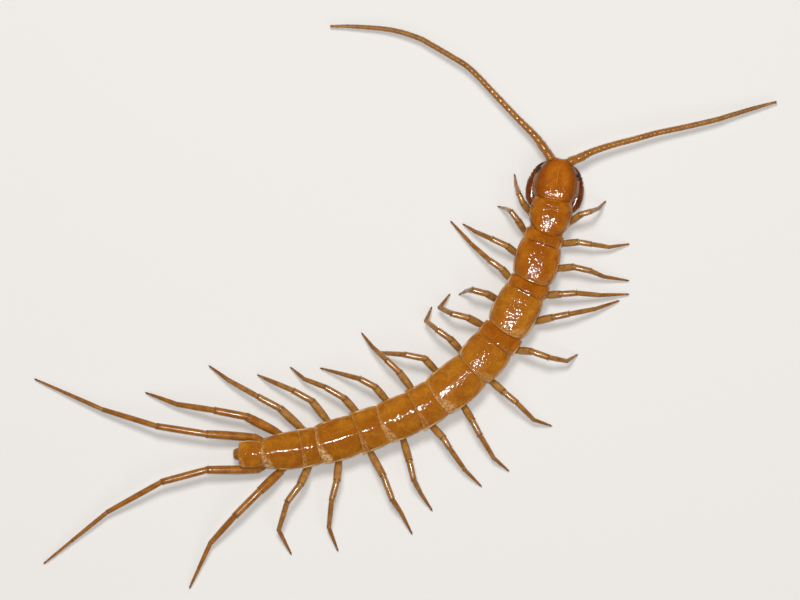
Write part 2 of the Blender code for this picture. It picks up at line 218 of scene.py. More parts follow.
# %% Build the shared cuticle group
class Field:
    """A value or colour that changes over a surface, and what can be done with it in nodes."""

    def __init__(self, tree, socket):
        self.tree = tree
        self.socket = socket

    def calculate(self, operation, other=0.0):
        """Work on this field and another one or a number."""
        return add_field(self.tree, "ShaderNodeMath", 0, {0: self, 1: other}, operation=operation)

    def __add__(self, other):
        return self.calculate("ADD", other)

    def __sub__(self, other):
        return self.calculate("SUBTRACT", other)

    def __mul__(self, other):
        return self.calculate("MULTIPLY", other)

    def __pow__(self, other):
        return self.calculate("POWER", other)

    def __abs__(self):
        return self.calculate("ABSOLUTE")

    def at_least(self, other):
        """Return the larger of this field and another one."""
        return self.calculate("MAXIMUM", other)

    def remap(self, low, high, to_low=0.0, to_high=1.0):
        """Map a range of this field smoothly onto another."""
        inputs = {"Value": self, "From Min": low, "From Max": high, "To Min": to_low, "To Max": to_high}
        return add_field(self.tree, "ShaderNodeMapRange", "Result", inputs, interpolation_type="SMOOTHSTEP")

    def mix(self, first, second):
        """Mix two colours by this field as their share."""
        return add_field(self.tree, "ShaderNodeMix", 2, {0: self, 6: first, 7: second}, data_type="RGBA")

    def noise(self, scale, detail=3.0, roughness=0.55):
        """Add a noise at this place, with this many features to the millimetre."""
        inputs = {"Vector": self, "Scale": scale, "Detail": detail, "Roughness": roughness}
        return add_field(self.tree, "ShaderNodeTexNoise", "Fac", inputs)

    def cells(self, scale, feature="F1"):
        """Add a cell texture at this place, with this many cells to the millimetre."""
        inputs = {"Vector": self, "Scale": scale}
        return add_field(self.tree, "ShaderNodeTexVoronoi", "Distance", inputs, feature=feature)

    def warp(self, scale, amount):
        """Push this place about by a noise, so that straight cell edges and patches wander."""
        shift = add_field(self.tree, "ShaderNodeTexNoise", "Color", {"Vector": self, "Scale": scale})
        inputs = {0: shift, 1: (amount,) * 3, 2: self}
        return add_field(self.tree, "ShaderNodeVectorMath", "Vector", inputs, operation="MULTIPLY_ADD")

    def bump(self, distance, strength=1.0, normal=None):
        """Take this field as a height in millimetres and return the bumped normal."""
        inputs = {"Distance": distance * MM, "Strength": strength, "Height": self}
        if normal:
            inputs["Normal"] = normal
        return add_field(self.tree, "ShaderNodeBump", "Normal", inputs)


def feed(tree, node, inputs):
    """Give a node's inputs numbers, colours, vectors or fields."""
    for name, value in inputs.items():
        socket = node.inputs[name]
        if isinstance(value, Field):
            tree.links.new(value.socket, socket)
        elif isinstance(value, tuple):
            socket.default_value = (*value, 1.0)[:len(socket.default_value)]
        else:
            socket.default_value = value


def add_node(tree, kind, inputs=None, **settings):
    """Add a shader node with these settings and inputs."""
    node = tree.nodes.new(kind)
    for name, value in settings.items():
        setattr(node, name, value)
    feed(tree, node, inputs or {})
    return node


def add_field(tree, kind, output, inputs=None, **settings):
    """Add a shader node and return one of its outputs as a field."""
    return Field(tree, add_node(tree, kind, inputs, **settings).outputs[output])


def millimetres(tree):
    """Return object coordinates in millimetres."""
    place = add_field(tree, "ShaderNodeTexCoord", "Object")
    return add_field(tree, "ShaderNodeMapping", "Vector", {"Vector": place, "Scale": (1 / MM,) * 3})


def build_cuticle():
    """Build the node group for amber cuticle."""
    tree = bpy.data.node_groups.new("cuticle", "ShaderNodeTree")
    sockets = [("INPUT", "Color", name) for name in ("Light", "Dark", "Pale")]
    numbers = ("Rim", "Patches", "Grains", "Depth", "Smooth", "Rough")
    sockets += [("INPUT", "Float", name) for name in numbers]
    results = (("Color", "Colour"), ("Float", "Roughness"), ("Vector", "Normal"))
    sockets += [("OUTPUT", kind, name) for kind, name in results]
    for way, kind, name in sockets:
        tree.interface.new_socket(name=name, in_out=way, socket_type="NodeSocket" + kind)
    given = {socket.name: Field(tree, socket) for socket in add_node(tree, "NodeGroupInput").outputs}
    depth, patches, grains = given["Depth"], given["Patches"], given["Grains"]
    place = millimetres(tree)
    clouds = place.noise(patches, 5.0, 0.6)
    grain = place.noise(grains, 2.0, 0.5)
    pits = place.cells(grains) ** 2.0
    dents = place.noise(patches * 2.5, 3.0, 0.5)
    smoke = place.warp(0.8, 0.9).noise(patches * 0.6, 2.0, 0.5)
    base = clouds.remap(0.34, 0.68).mix(given["Dark"], given["Light"])
    base = smoke.remap(0.5, 0.72, 0.0, 0.55).mix(base, given["Dark"])
    flecked = grain.remap(0.5, 0.85, 0.0, 0.3).mix(base, given["Pale"])
    pale_share = given["Rim"] * dents.remap(0.2, 0.7, 0.45, 1.0)
    pitted = pits.bump(0.021, depth, dents.bump(0.042, depth))
    add_node(tree, "NodeGroupOutput", {
        "Colour": pale_share.mix(flecked, given["Pale"]),
        "Roughness": grain.remap(0.3, 0.75, given["Smooth"], given["Rough"]),
        "Normal": grain.bump(0.006, depth, pitted),
    })
    return tree


cuticle_group = build_cuticle()
print("cuticle group with", len(cuticle_group.nodes), "nodes")

# %% [markdown]
# One finish for each kind of piece
# A plate is darkest along its middle and yellower at the sides. A fine raised ridge runs round
# inside its edge as a rounded rectangle, wandering wrinkles cross it, a broken cream line of painted
# highlight runs along its side edges, and its hind band is thin, pale and crazed, widest on the
# animal's right. The head shield is darker at its sides, with a pale seam along its middle that is
# painted highlight of its suture. A limb is pale at the body and browner towards the tip, with
# painted shade down its sides and a dark ring where each article ends, and a feeler loses its gloss
# towards its tip. These masks come from the lay attribute, and the shader itself stays in the material.

# %% Make the materials
# Cream for the pale hind bands, and for the painted highlight along the plates' side rims.
CREAM_BAND_AND_HIGHLIGHT = (0.78, 0.52, 0.25)


def dim(colour, share=0.6):
    """Return a darker tint of a colour."""
    return tuple(part * share for part in colour)


def dress_plate(group, lay, given, colours, wrinkles, band_and_highlight_share, centre, sides):
    """Draw a plate's ridge, wrinkles and pale hind band, with painted highlight on its seam and side rims,
    and return its colour and normal.
    """
    along, across, third = lay
    colour, normal = given
    light, dark, pale = colours
    aside = abs(across)
    place = millimetres(along.tree)
    edge = abs(along * 2.0 - 1.0) ** 5.0 + aside ** 5.0
    ridge = abs(edge - 0.55).remap(0.0, 0.16, 1.0, 0.0)
    flange = edge.remap(0.6, 0.9)
    middle = aside.remap(0.1, 0.7, 1.0, 0.0)
    borders = place.warp(0.7, 1.6).cells(0.42, "DISTANCE_TO_EDGE")
    pale_lines = borders.remap(0.0, 0.04, 1.0, 0.0) * wrinkles
    feed(along.tree, group, {"Rim": pale_lines.at_least(flange * 0.2),
                             "Light": (middle * centre).mix(light, dark)})
    colour = (ridge * 0.2).mix(colour, dim(dark))
    if sides:
        colour = aside.remap(0.3, 0.9, 0.0, sides).mix(colour, dim(dark))
        # A pale seam along the head's middle, painted as the bright line of the suture's highlight.
        seam_highlight_reach = along.remap(0.34, 0.46) * along.remap(0.66, 0.84, 1.0, 0.0)
        colour = (aside.remap(0.0, 0.025, 0.7, 0.0) * seam_highlight_reach).mix(colour, pale)
    crazing = place.warp(3.0, 0.35).noise(4.5, 3.0, 0.7).remap(0.44, 0.6, 0.15, 1.0)
    corner = along - across.remap(-0.2, 0.8, 0.0, -0.16)
    band = corner.remap(0.89, 0.97) * (third * across.remap(-0.6, 0.4, 0.4, 0.85) * crazing)
    # The side rims carry a broken cream line of painted highlight; the crazed hind band is pale cuticle.
    rim_highlight = aside.remap(0.91, 0.97) * aside.remap(0.985, 1.0, 1.0, 0.35)
    broken_highlight = along.remap(0.2, 0.75, 0.15, 1.0) * place.noise(1.1, 2.0).remap(0.42, 0.55, 0.1, 0.85)
    colour = (band.at_least(rim_highlight * broken_highlight) * band_and_highlight_share).mix(colour, CREAM_BAND_AND_HIGHLIGHT)
    return colour, (ridge + pale_lines * 1.5).bump(0.025, 1.0, normal)


def make_cuticle(name, light, dark, pale, patches=0.9, grains=6.0, depth=0.5, gloss=(0.1, 0.26),
                 kind=None, tip=None, glow=0.12, lacquer=0.0, wrinkles=0.2, band_and_highlight_share=1.0,
                 centre=0.85, sides=0.0, dull_tip=False):
    """Make one material around the shared group."""
    material = bpy.data.materials.new(name)
    material.use_nodes = True
    tree = material.node_tree
    lay = add_field(tree, "ShaderNodeAttribute", "Vector", attribute_name="lay")
    split = add_node(tree, "ShaderNodeSeparateXYZ", {"Vector": lay})
    along, across, third = (Field(tree, socket) for socket in split.outputs)
    group = add_node(tree, "ShaderNodeGroup", node_tree=cuticle_group)
    feed(tree, group, {"Light": light, "Dark": dark, "Pale": pale, "Patches": patches, "Grains": grains,
                       "Depth": depth, "Smooth": gloss[0], "Rough": gloss[1]})
    if tip:
        feed(tree, group, {"Light": third.remap(0.15, 0.8).mix(light, tip),
                           "Dark": third.remap(0.1, 0.7).mix(dark, dim(tip))})
    colour, roughness, normal = (Field(tree, socket) for socket in group.outputs)
    if kind == "plate":
        colour, normal = dress_plate(group, (along, across, third), (colour, normal), (light, dark, pale),
                                     wrinkles, band_and_highlight_share, centre, sides)
    if kind == "limb":
        feed(tree, group, {"Rim": along.remap(0.0, 0.1, 0.3, 0.0)})
        # A dark ring at each article's end, and painted shade darkening the limb down its sides.
        end_ring_and_side_shade = along.remap(0.92, 0.98, 0.0, 0.65).at_least(across.remap(0.5, 1.0, 0.0, 0.5))
        colour = end_ring_and_side_shade.mix(colour, dim(tip or dark, 0.45))
    if dull_tip:
        roughness = roughness.at_least(third.remap(0.25, 0.6, 0.0, 0.42))
        lacquer = third.remap(0.2, 0.5, lacquer, 0.05)
    feed(tree, tree.nodes["Principled BSDF"], {
        "Base Color": colour, "Roughness": roughness, "Normal": normal, "IOR": 1.47,
        "Coat Weight": lacquer, "Coat Roughness": 0.12, "Subsurface Weight": glow,
        "Subsurface Radius": (1.0, 0.4, 0.12), "Subsurface Scale": 0.4 * MM,
    })
    return material


AMBER = (0.455, 0.166, 0.009)
DEEP_AMBER = (0.31, 0.092, 0.004)
HONEY = (0.64, 0.31, 0.04)
PLATE_GRAIN = {"grains": 5.6, "depth": 0.7, "gloss": (0.05, 0.1), "kind": "plate"}
LIMB_GLOSS = {"grains": 9.0, "depth": 0.3, "gloss": (0.18, 0.34), "kind": "limb", "lacquer": 0.6}
amber = make_cuticle("amber_plate", AMBER, DEEP_AMBER, HONEY, **PLATE_GRAIN)
rear_amber = make_cuticle("rear_plate", (0.42, 0.152, 0.007), (0.28, 0.08, 0.003), (0.6, 0.28, 0.035),
                          grains=5.6, depth=0.2, gloss=(0.07, 0.12), kind="plate")
front_amber = make_cuticle("front_plate", (0.43, 0.135, 0.004), (0.28, 0.07, 0.002), (0.55, 0.23, 0.02),
                           **PLATE_GRAIN)
belly = make_cuticle("belly_plate", (0.5, 0.2, 0.025), (0.36, 0.11, 0.01), HONEY, kind="plate",
                     band_and_highlight_share=0.3)
skin = make_cuticle("joint_skin", (0.48, 0.19, 0.025), (0.33, 0.1, 0.01), (0.6, 0.3, 0.06),
                    patches=1.4, grains=8.0, depth=0.9, gloss=(0.3, 0.5), glow=0.25)
chestnut = make_cuticle("head_shield", (0.43, 0.125, 0.005), (0.3, 0.07, 0.002), (0.62, 0.27, 0.03),
                        patches=1.0, wrinkles=0.05, band_and_highlight_share=0.25, centre=0.0, sides=0.85,
                        **{**PLATE_GRAIN, "depth": 0.8})
fang = make_cuticle("fang", (0.19, 0.045, 0.003), (0.09, 0.015, 0.001), (0.36, 0.14, 0.02),
                    tip=(0.05, 0.008, 0.001), depth=0.4, gloss=(0.12, 0.24), lacquer=0.3)
tan_leg = make_cuticle("tan_leg", (0.44, 0.215, 0.05), (0.31, 0.125, 0.02), (0.58, 0.34, 0.11),
                       patches=1.6, tip=(0.33, 0.115, 0.012), glow=0.2, **LIMB_GLOSS)
rust_leg = make_cuticle("rust_leg", (0.4, 0.15, 0.012), (0.26, 0.078, 0.005), (0.55, 0.26, 0.05),
                        patches=1.2, tip=(0.34, 0.12, 0.012), **LIMB_GLOSS)
feeler = make_cuticle("feeler", (0.38, 0.15, 0.014), (0.26, 0.085, 0.006), (0.5, 0.25, 0.05),
                      patches=1.6, tip=(0.36, 0.15, 0.03), dull_tip=True, **LIMB_GLOSS)
horn = make_cuticle("dark_horn", (0.2, 0.055, 0.008), (0.11, 0.025, 0.003), (0.26, 0.1, 0.02),
                    patches=2.0, grains=12.0, depth=0.2, gloss=(0.12, 0.25), glow=0.0)
eye_black = make_cuticle("eye_black", (0.012, 0.008, 0.006), (0.006, 0.004, 0.003), (0.03, 0.02, 0.01),
                         patches=3.0, grains=14.0, depth=0.1, gloss=(0.06, 0.12), glow=0.0)
bristle = make_cuticle("bristle", (0.36, 0.16, 0.04), (0.25, 0.1, 0.02), (0.5, 0.3, 0.1), glow=0.0)
print("materials", [m.name for m in bpy.data.materials])

# %% [markdown]
# The pose of the trunk
# The trunk is modelled straight along the X axis, which keeps every plate simple, and bent at the
# end by a Curve modifier along the midline. The midline's segments repeat the solids' own sizes:
# length, heading towards the tail, and half width of the back plate.

# %% Lay out the midline
NECK = (13.3, 9.5)
HEAD_HEADING = 79.5
SEGMENTS = (
    (2.9, -103, 1.92), (0.9, -112, 1.76), (3.6, -106, 2.02), (1.0, -117, 1.86), (4.1, -118, 2.07),
    (1.3, -126, 1.94), (3.2, -131, 2.07), (4.1, -141, 2.05), (2.0, -149, 1.86), (3.5, -157, 1.94),
    (2.1, -160, 1.84), (3.9, -163, 1.90), (1.4, -168, 1.66), (3.7, -173, 1.70), (2.0, -178, 1.13),
)
FIRST_HEADING = -101
LAST_HEADING = -179
LEAD = 0.6
STEPS = 8


def plan_vector(heading):
    """Return the level unit vector with this heading in degrees."""
    return Vector((math.cos(math.radians(heading)), math.sin(math.radians(heading)), 0.0))


def midline(number, t):
    """Return the point and the heading at a share of the way along a numbered segment."""
    start, end = joint_points[number - 1:number + 1]
    before, after = joint_headings[number - 1:number + 1]
    length = SEGMENTS[number - 1][0]
    leave, arrive = plan_vector(before) * length, plan_vector(after) * length
    point = (start * (2 * t ** 3 - 3 * t * t + 1) + leave * (t ** 3 - 2 * t * t + t)
             + end * (3 * t * t - 2 * t ** 3) + arrive * (t ** 3 - t * t))
    return point, before + (after - before) * t


joint_points = [Vector((*NECK, 0.0))]
for length, heading, _ in SEGMENTS:
    joint_points.append(joint_points[-1] + plan_vector(heading) * length)
joint_headings = [FIRST_HEADING]
for (_, before, _), (_, after, _) in zip(SEGMENTS, SEGMENTS[1:]):
    joint_headings.append((before + after) / 2)
joint_headings.append(LAST_HEADING)

trunk_line = [joint_points[0] - plan_vector(FIRST_HEADING) * LEAD, joint_points[0]]
spans = []
at = LEAD
for number, (_, _, half_width) in enumerate(SEGMENTS, start=1):
    near = at
    for step in range(1, STEPS + 1):
        point = midline(number, step / STEPS)[0]
        at += (point - trunk_line[-1]).length
        trunk_line.append(point)
    spans.append((number, near, at, half_width))
trunk_end = at
print("trunk length", round(trunk_end - LEAD, 1), "mm in", len(trunk_line), "points")

# %% [markdown]
# Bending a straight piece
# A Curve modifier carries each point of a mesh to the same distance along a curve. A poly curve
# with closely spaced points gives it an exact path, and its twist is kept upright so that the
# back stays up. Feelers, fangs and palps follow a smooth curve through a few points.

# %% Make a guide and bend along it
def make_guide(points):
    """Make a guide curve through points in millimetres."""
    data = bpy.data.curves.new("guide", "CURVE")
    data.dimensions = "3D"
    data.twist_mode = "Z_UP"
    spline = data.splines.new("POLY")
    spline.points.add(len(points) - 1)
    for knot, point in zip(spline.points, points):
        knot.co = (*point, 1.0)
    return new_object("guide", data)


def bend(piece, guide):
    """Bend a straight piece along a guide."""
    add_modifier(piece, "CURVE", object=guide, deform_axis="POS_X")


def bend_along(piece, line):
    """Bend a straight piece along a line of its own."""
    guide = make_guide(line)
    bend(piece, guide)
    discard(guide)


def smooth_curve(points, count):
    """Read points at even steps of knot number from a Catmull-Rom curve through the given ones."""
    knots = [points[0] * 2 - points[1], *points, points[-1] * 2 - points[-2]]
    stretches = len(points) - 1
    curve = []
    for k in range(count):
        place = stretches * k / (count - 1)
        i = min(int(place), stretches - 1)
        t = place - i
        a, b, c, d = knots[i:i + 4]
        curve.append((b * 2 + (c - a) * t + (a * 2 - b * 5 + c * 4 - d) * t * t
                      + (b * 3 - a - c * 3 + d) * t ** 3) / 2)
    return curve


def curve_length(curve):
    """Return the length of a row of points."""
    return sum((far - near).length for near, far in zip(curve, curve[1:]))


trunk_guide = make_guide(trunk_line)
print("guide ready")

# %% [markdown]
# Drawn tubes
# Limbs, feelers, fangs and the soft body are all rows of rings. A tube starts as a filled circle,
# and each further ring is drawn out of the last one by extruding its end face and resizing it,
# as by hand with the E and S keys.

# %% Draw a tube along X
def draw_tube(name, rings, sides):
    """Draw a closed tube through rings of place, half width, half height and height of middle."""
    x, wide, high, middle = rings[0]
    bpy.ops.mesh.primitive_circle_add(vertices=sides, radius=1.0, fill_type="NGON",
                                      location=(x, 0, middle), rotation=(0, math.pi / 2, 0))
    tube = bpy.context.object
    tube.name = name
    settle(tube)
    edit(tube, "FACE")
    resize((1, wide, high), (x, 0, middle))
    for near, far in zip(rings, rings[1:]):
        step = (far[0] - near[0], 0, far[3] - near[3])
        bpy.ops.mesh.extrude_region_move(TRANSFORM_OT_translate={"value": step})
        resize((1, far[1] / near[1], far[2] / near[2]), (far[0], 0, far[3]))
    close_edit()
    return tube


def draw_round(name, profile, sides, length=1.0, flatness=1.0):
    """Draw a tube from a profile of place, radius and, where it droops, height."""
    rings = [(place * length, radius, radius * flatness, sum(height)) for place, radius, *height in profile]
    return draw_tube(name, rings, sides)


print("tubes can be drawn")

# %% [markdown]
# The soft body
# Under the plates the trunk is one bag of folded skin. It shows as a pale band down each flank
# and in the notches between the plates. One tube, drawn in to a fold at every joint, gives that,
# and a cloud displacement crumples it a little.

# %% Model the soft body
BODY_MIDDLE = 1.85
BODY_HALF_HEIGHT = 1.05
BODY_FRONT = ((0.5, 1.2, 0.4), (0.38, 1.65, 0.62), (0.15, 1.86, 0.78))
BODY_RINGS = ((0.06, 0.79, 0.9), (0.2, 0.82, 0.98), (0.5, 0.85, 1.0), (0.8, 0.82, 0.98), (0.94, 0.79, 0.9))
BODY_END = (0.05, 0.6, 0.6, 0.25)
BODY_DROPS = {14: 0.08, 15: 0.22}
FOLD = (0.84, 0.94)

rings = [(LEAD - before, wide, high, BODY_MIDDLE) for before, wide, high in BODY_FRONT]
for number, near, far, half_width in spans:
    drop = BODY_DROPS.get(number, 0.0)
    middle, half_height = BODY_MIDDLE - drop, BODY_HALF_HEIGHT - drop
    for share, wide, high in BODY_RINGS:
        rings.append((near + (far - near) * share, half_width * wide, half_height * high, middle))
    if number < len(spans):
        joint_half_width = (half_width + SEGMENTS[number][2]) / 2
        rings.append((far, joint_half_width * FOLD[0], half_height * FOLD[1], middle))
after, wide, high, drop = BODY_END
rings.append((trunk_end + after, wide, high, BODY_MIDDLE - drop))
soft_body = draw_tube("soft_body", rings, 28)
soften(soft_body, 1)
crumple = bpy.data.textures.new("crumple", "CLOUDS")
crumple.noise_scale = 0.5
add_modifier(soft_body, "DISPLACE", texture=crumple, strength=0.08, mid_level=0.5, texture_coords="LOCAL")
write_lay(soft_body, lambda co: (0.5, 0.0, co.x / trunk_end))
bend(soft_body, trunk_guide)
finish(soft_body, "soft_body", skin, [f"trunk_{number:02d}" for number, *_ in spans])
print("soft body", len(soft_body.data.polygons), "faces")

# %% [markdown]
# The small plates of the flank
# Three thin scales stiffen the skin above each leg, a large one between two small ones. On six
# segments a spiracle, the slit that the animal breathes through, opens in a dark ring over the
# large one. A scale is a flat drawn lens, and all of them are bent with the trunk.

# %% Model the flank
SCALE_PROFILE = (
    (-1.0, 0.12), (-0.85, 0.6), (-0.45, 0.95), (0.0, 1.0), (0.45, 0.93), (0.85, 0.55), (1.0, 0.1),
)
SCALES = ((0.0, 1.76, 0.55, 0.3, 0.83), (-0.85, 1.5, 0.32, 0.2, 0.78), (0.85, 1.52, 0.3, 0.18, 0.78))
SCALE_THICKNESS = 0.07
SPIRACLED = (3, 5, 8, 10, 12, 14)
SPIRACLE_HEIGHT = 1.8
SPIRACLE_REACH = 0.83
SPIRACLE_RADII = (0.1, 0.035)
SPIRACLE_SHAPE = (0.65, 1.2, 0.8)
LEG_PLACES = (0.5, 0.55, 0.5, 0.62, 0.5, 0.62, 0.87, 0.66, 0.82, 0.66, 0.88, 0.66, 0.9, 0.62, 0.3)

scales = []
for (number, near, _, half_width), (length, _, _), leg_place in zip(spans, SEGMENTS, LEG_PLACES):
    coxa_at = near + length * leg_place
    for sign in (1, -1):
        for shift, height, half_length, half_height, seam_highlight_reach in SCALES:
            rings = []
            for place, share in SCALE_PROFILE:
                rings.append((coxa_at + shift + half_length * place, SCALE_THICKNESS * share,
                              half_height * share, height))
            scales.append(draw_tube("scale", rings, 14))
            scales[-1].location.y = sign * half_width * seam_highlight_reach
            paint(scales[-1], belly)
        if number in SPIRACLED:
            aside = sign * (half_width * SPIRACLE_REACH + SCALE_THICKNESS)
            bpy.ops.mesh.primitive_torus_add(
                location=(coxa_at, aside, SPIRACLE_HEIGHT), rotation=(math.pi / 2, 0, 0), major_segments=20,
                minor_segments=8, major_radius=SPIRACLE_RADII[0], minor_radius=SPIRACLE_RADII[1])
            scales.append(bpy.context.object)
            scales[-1].scale = SPIRACLE_SHAPE
            paint(scales[-1], horn)
for scale in scales:
    settle(scale)
    write_lay(scale)
flank = join(scales)
bend(flank, trunk_guide)
finish(flank, "flank_scales")
print("flank", len(scales), "scales and spiracles")

# %% [markdown]
# The plates
# Each segment has a back plate, the tergite, and a belly plate, the sternite, and the head has its
# shield. A plate starts as a flat sheet, cut by parallel planes into rows and columns, and its lay
# is written. Rows are lifted into the arch, columns are drawn in to round the corners, and rows
# near the side are shortened to bow the hind edge. Solidify and a subdivision surface finish it.

# %% Model a plate
ROWS = (0.0, 0.07, 0.2, 0.38, 0.56, 0.7, 0.8, 0.87, 0.92, 0.96, 1.0)
RIM = {0.87: -0.012, 0.92: -0.02, 0.96: 0.025, 1.0: 0.01}
COLUMNS = (0.0, 0.03, 0.07, 0.12, 0.2, 0.32, 0.46, 0.6, 0.72, 0.81, 0.88, 0.93, 0.97, 1.0)
BOW_CENTRE = 0.2
PLATE_THICKNESS = 0.09


def make_plate(start, length, half_width, margin, rise, outline, power=2.6, ridges=(), bow=0.0,
               lip=0.2, creases=(), levels=2, unevenness=0.05, extra_rows=()):
    """Model a plate from its size, the height of its margin, its rise to the crest and its outline."""
    up = 1 if rise > 0 else -1
    lifts = dict(ridges)
    rows = sorted({side * row for row in (*ROWS, *extra_rows) for side in (1, -1)})
    columns = sorted({*COLUMNS, *lifts})
    bpy.ops.mesh.primitive_plane_add(size=1, location=(start + length / 2, 0, margin))
    plate = bpy.context.object
    plate.scale = (length, half_width * 2, 1)
    settle(plate)
    edit(plate)
    for place in columns[1:-1]:
        cut(0, start + place * length)
    for row in rows[1:-1]:
        cut(1, row * half_width)
    bpy.ops.object.mode_set(mode="OBJECT")
    write_lay(plate, lambda co: ((co.x - start) / length, co.y / half_width, 0.0))
    edit(plate)
    for row in rows:
        pick(plate, lambda along, across, _: abs(across - row) < TINY)
        height = rise * (1 - abs(row) ** power) + up * RIM.get(abs(row), 0.0)
        move((0, 0, height))
        resize((1 - bow * row * row, 1, 1), (start + BOW_CENTRE * length, 0, 0))
    for test, depth in creases:
        pick(plate, test)
        move((0, 0, -depth))
    pick(plate, lambda along, across, _: abs(across) > 1 - TINY)
    bpy.ops.mesh.extrude_edges_move(TRANSFORM_OT_translate={"value": (0, 0, -up * lip)})
    for place in columns:
        width, height = read_profile(outline, place)
        pick(plate, lambda along, across, _: abs(along - place) < TINY)
        resize((1, width, height), (start, 0, margin))
        if place in lifts:
            move((0, 0, up * lifts[place]))
    close_edit()
    add_modifier(plate, "DISPLACE", texture=crumple, strength=unevenness, mid_level=0.5, direction="Z",
                 texture_coords="LOCAL")
    add_modifier(plate, "SOLIDIFY", thickness=PLATE_THICKNESS, offset=-1)
    edit(plate)
    close_edit()
    soften(plate, levels)
    return plate


print("plates have", len(ROWS) * 2 - 1, "rows and", len(COLUMNS), "columns")

# %% [markdown]
# Back plates, long and short
# A stone centipede's long plates are numbers 1, 3, 5, 7, 8, 10, 12 and 14, with a short one in
# between, and each plate's hind edge lies over the next one, as on a tiled roof. Long plates are
# shields with round corners, the short ones are narrow bands, and numbers 9, 11 and 13 have hind
# corners drawn out to points. Towards the tail the arch turns into a low ridge.

# %% Model the back plates
TERGITE_MARGIN = 2.3
OVERLAP = 0.18
NECK_COVER = 0.3
TERGITE_SHAPES = {
    "first": ((0, 0.84, 0.52), (0.12, 0.92, 0.68), (0.2, 0.96, 0.79), (0.3, 0.99, 0.89), (0.45, 1.0, 0.965),
              (0.6, 0.985, 1.0), (0.75, 0.93, 0.995), (0.87, 0.82, 0.975), (0.95, 0.69, 0.945),
              (1, 0.56, 0.92)),
    "long": ((0, 0.84, 0.6), (0.07, 0.89, 0.69), (0.2, 0.96, 0.785), (0.32, 0.985, 0.85), (0.46, 1.0, 0.91),
             (0.6, 1.0, 0.955), (0.72, 0.985, 0.982), (0.81, 0.96, 0.995), (0.88, 0.93, 1.0),
             (0.93, 0.89, 0.997), (1, 0.79, 0.98)),
    "short": ((0, 0.95, 0.62), (0.2, 0.99, 0.73), (0.6, 1.0, 0.88), (0.9, 1.0, 0.97), (1, 0.98, 0.97)),
    "square": ((0, 0.86, 0.84), (0.1, 0.93, 0.92), (0.3, 0.985, 0.97), (0.6, 1.0, 0.995), (0.86, 0.98, 1.0),
               (0.95, 0.94, 0.985), (1, 0.89, 0.96)),
    "pointed": ((0, 0.92, 0.84), (0.2, 0.98, 0.92), (0.6, 1.0, 0.98), (0.9, 1.03, 0.98), (1, 1.05, 0.96)),
    "tapered": ((0, 0.93, 0.9), (0.12, 0.98, 0.96), (0.35, 1.0, 0.99), (0.6, 0.95, 1.0), (0.82, 0.83, 0.985),
                (0.94, 0.74, 0.96), (1, 0.69, 0.93)),
    "last": ((0, 0.85, 1.0), (0.12, 0.98, 0.99), (0.4, 1.07, 0.93), (0.7, 1.08, 0.85), (0.88, 1.03, 0.79),
             (0.96, 0.94, 0.75), (1, 0.82, 0.72)),
}
TERGITE_KINDS = ("first", "short", "long", "short", "long", "short", "long", "square", "pointed", "square",
                 "pointed", "square", "pointed", "tapered", "last")
TERGITE_BOWS = {"pointed": -0.12, "short": 0.0, "last": 0.05}
TERGITE_RISES = {14: 0.88, 15: 0.6}
CREST_POWERS = (4.4, 3.2, 3.8, 3.2, 3.8, 2.8, 3.0, 2.3, 2.0, 2.0, 1.85, 1.85, 1.75, 1.85, 1.8)
HIND_BANDS = (0.0, 0.1, 0.15, 0.1, 0.4, 0.15, 0.25, 0.7, 0.25, 0.6, 0.35, 0.9, 0.4, 0.9, 0.3)
FIRST_RIDGES = ((0.21, 0.04), (0.235, -0.045), (0.31, 0.04), (0.335, -0.04))
HIND_RIDGES = ((0.93, -0.01), (0.97, 0.02))
TERGITE_COLOURS = {
    **dict.fromkeys((1, 2, 3, 4, 6), front_amber),
    **dict.fromkeys((11, 12, 13, 14), rear_amber),
}

for number, near, far, half_width in spans:
    kind = TERGITE_KINDS[number - 1]
    start = near - NECK_COVER * (number == 1)
    ridges = HIND_RIDGES + FIRST_RIDGES * (number == 1)
    tergite = make_plate(start, far - start + OVERLAP, half_width, TERGITE_MARGIN,
                         TERGITE_RISES.get(number, 1.0), TERGITE_SHAPES[kind], CREST_POWERS[number - 1],
                         ridges, TERGITE_BOWS.get(kind, 0.06), unevenness=0.05 if number < 11 else 0.02)
    set_third(tergite, HIND_BANDS[number - 1])
    bend(tergite, trunk_guide)
    finish(tergite, f"tergite_{number:02d}", TERGITE_COLOURS.get(number, amber))
print("back plates", number, "of", len(tergite.data.polygons), "faces")

# %% [markdown]
# Belly plates
# The belly plates are flatter and paler, wide in front and narrow behind, with soft skin showing
# between them. They are the same kind of plate turned to face down.

# %% Model the belly plates
STERNITE_MARGIN = 0.82
STERNITE_DROP = -0.14
STERNITE_SHARE = 0.56
STERNITE_GAP = 0.07
STERNITE_BAND = 0.3
STERNITE_SHAPE = ((0, 0.8, 1.0), (0.1, 0.94, 1.0), (0.25, 1.0, 1.0), (0.5, 0.97, 1.0), (0.8, 0.82, 1.0),
                  (0.93, 0.72, 1.0), (1, 0.6, 1.0))

for number, near, far, half_width in spans:
    gap = STERNITE_GAP * (far - near)
    start = near + gap
    sternite = make_plate(start, far - start - gap, half_width * STERNITE_SHARE, STERNITE_MARGIN,
                          STERNITE_DROP, STERNITE_SHAPE, lip=0.3, levels=1)
    set_third(sternite, STERNITE_BAND)
    bend(sternite, trunk_guide)
    finish(sternite, f"sternite_{number:02d}", belly)
print("belly plates", number)

# %% [markdown]
# The head shield
# The head is covered by one rounded shield with a raised rim. A fine suture lies along its middle,
# and another crosses it near the front. It is a plate like the others, in the head's own frame,
# which starts at the neck and looks along X, and is turned to the head's heading at the end.

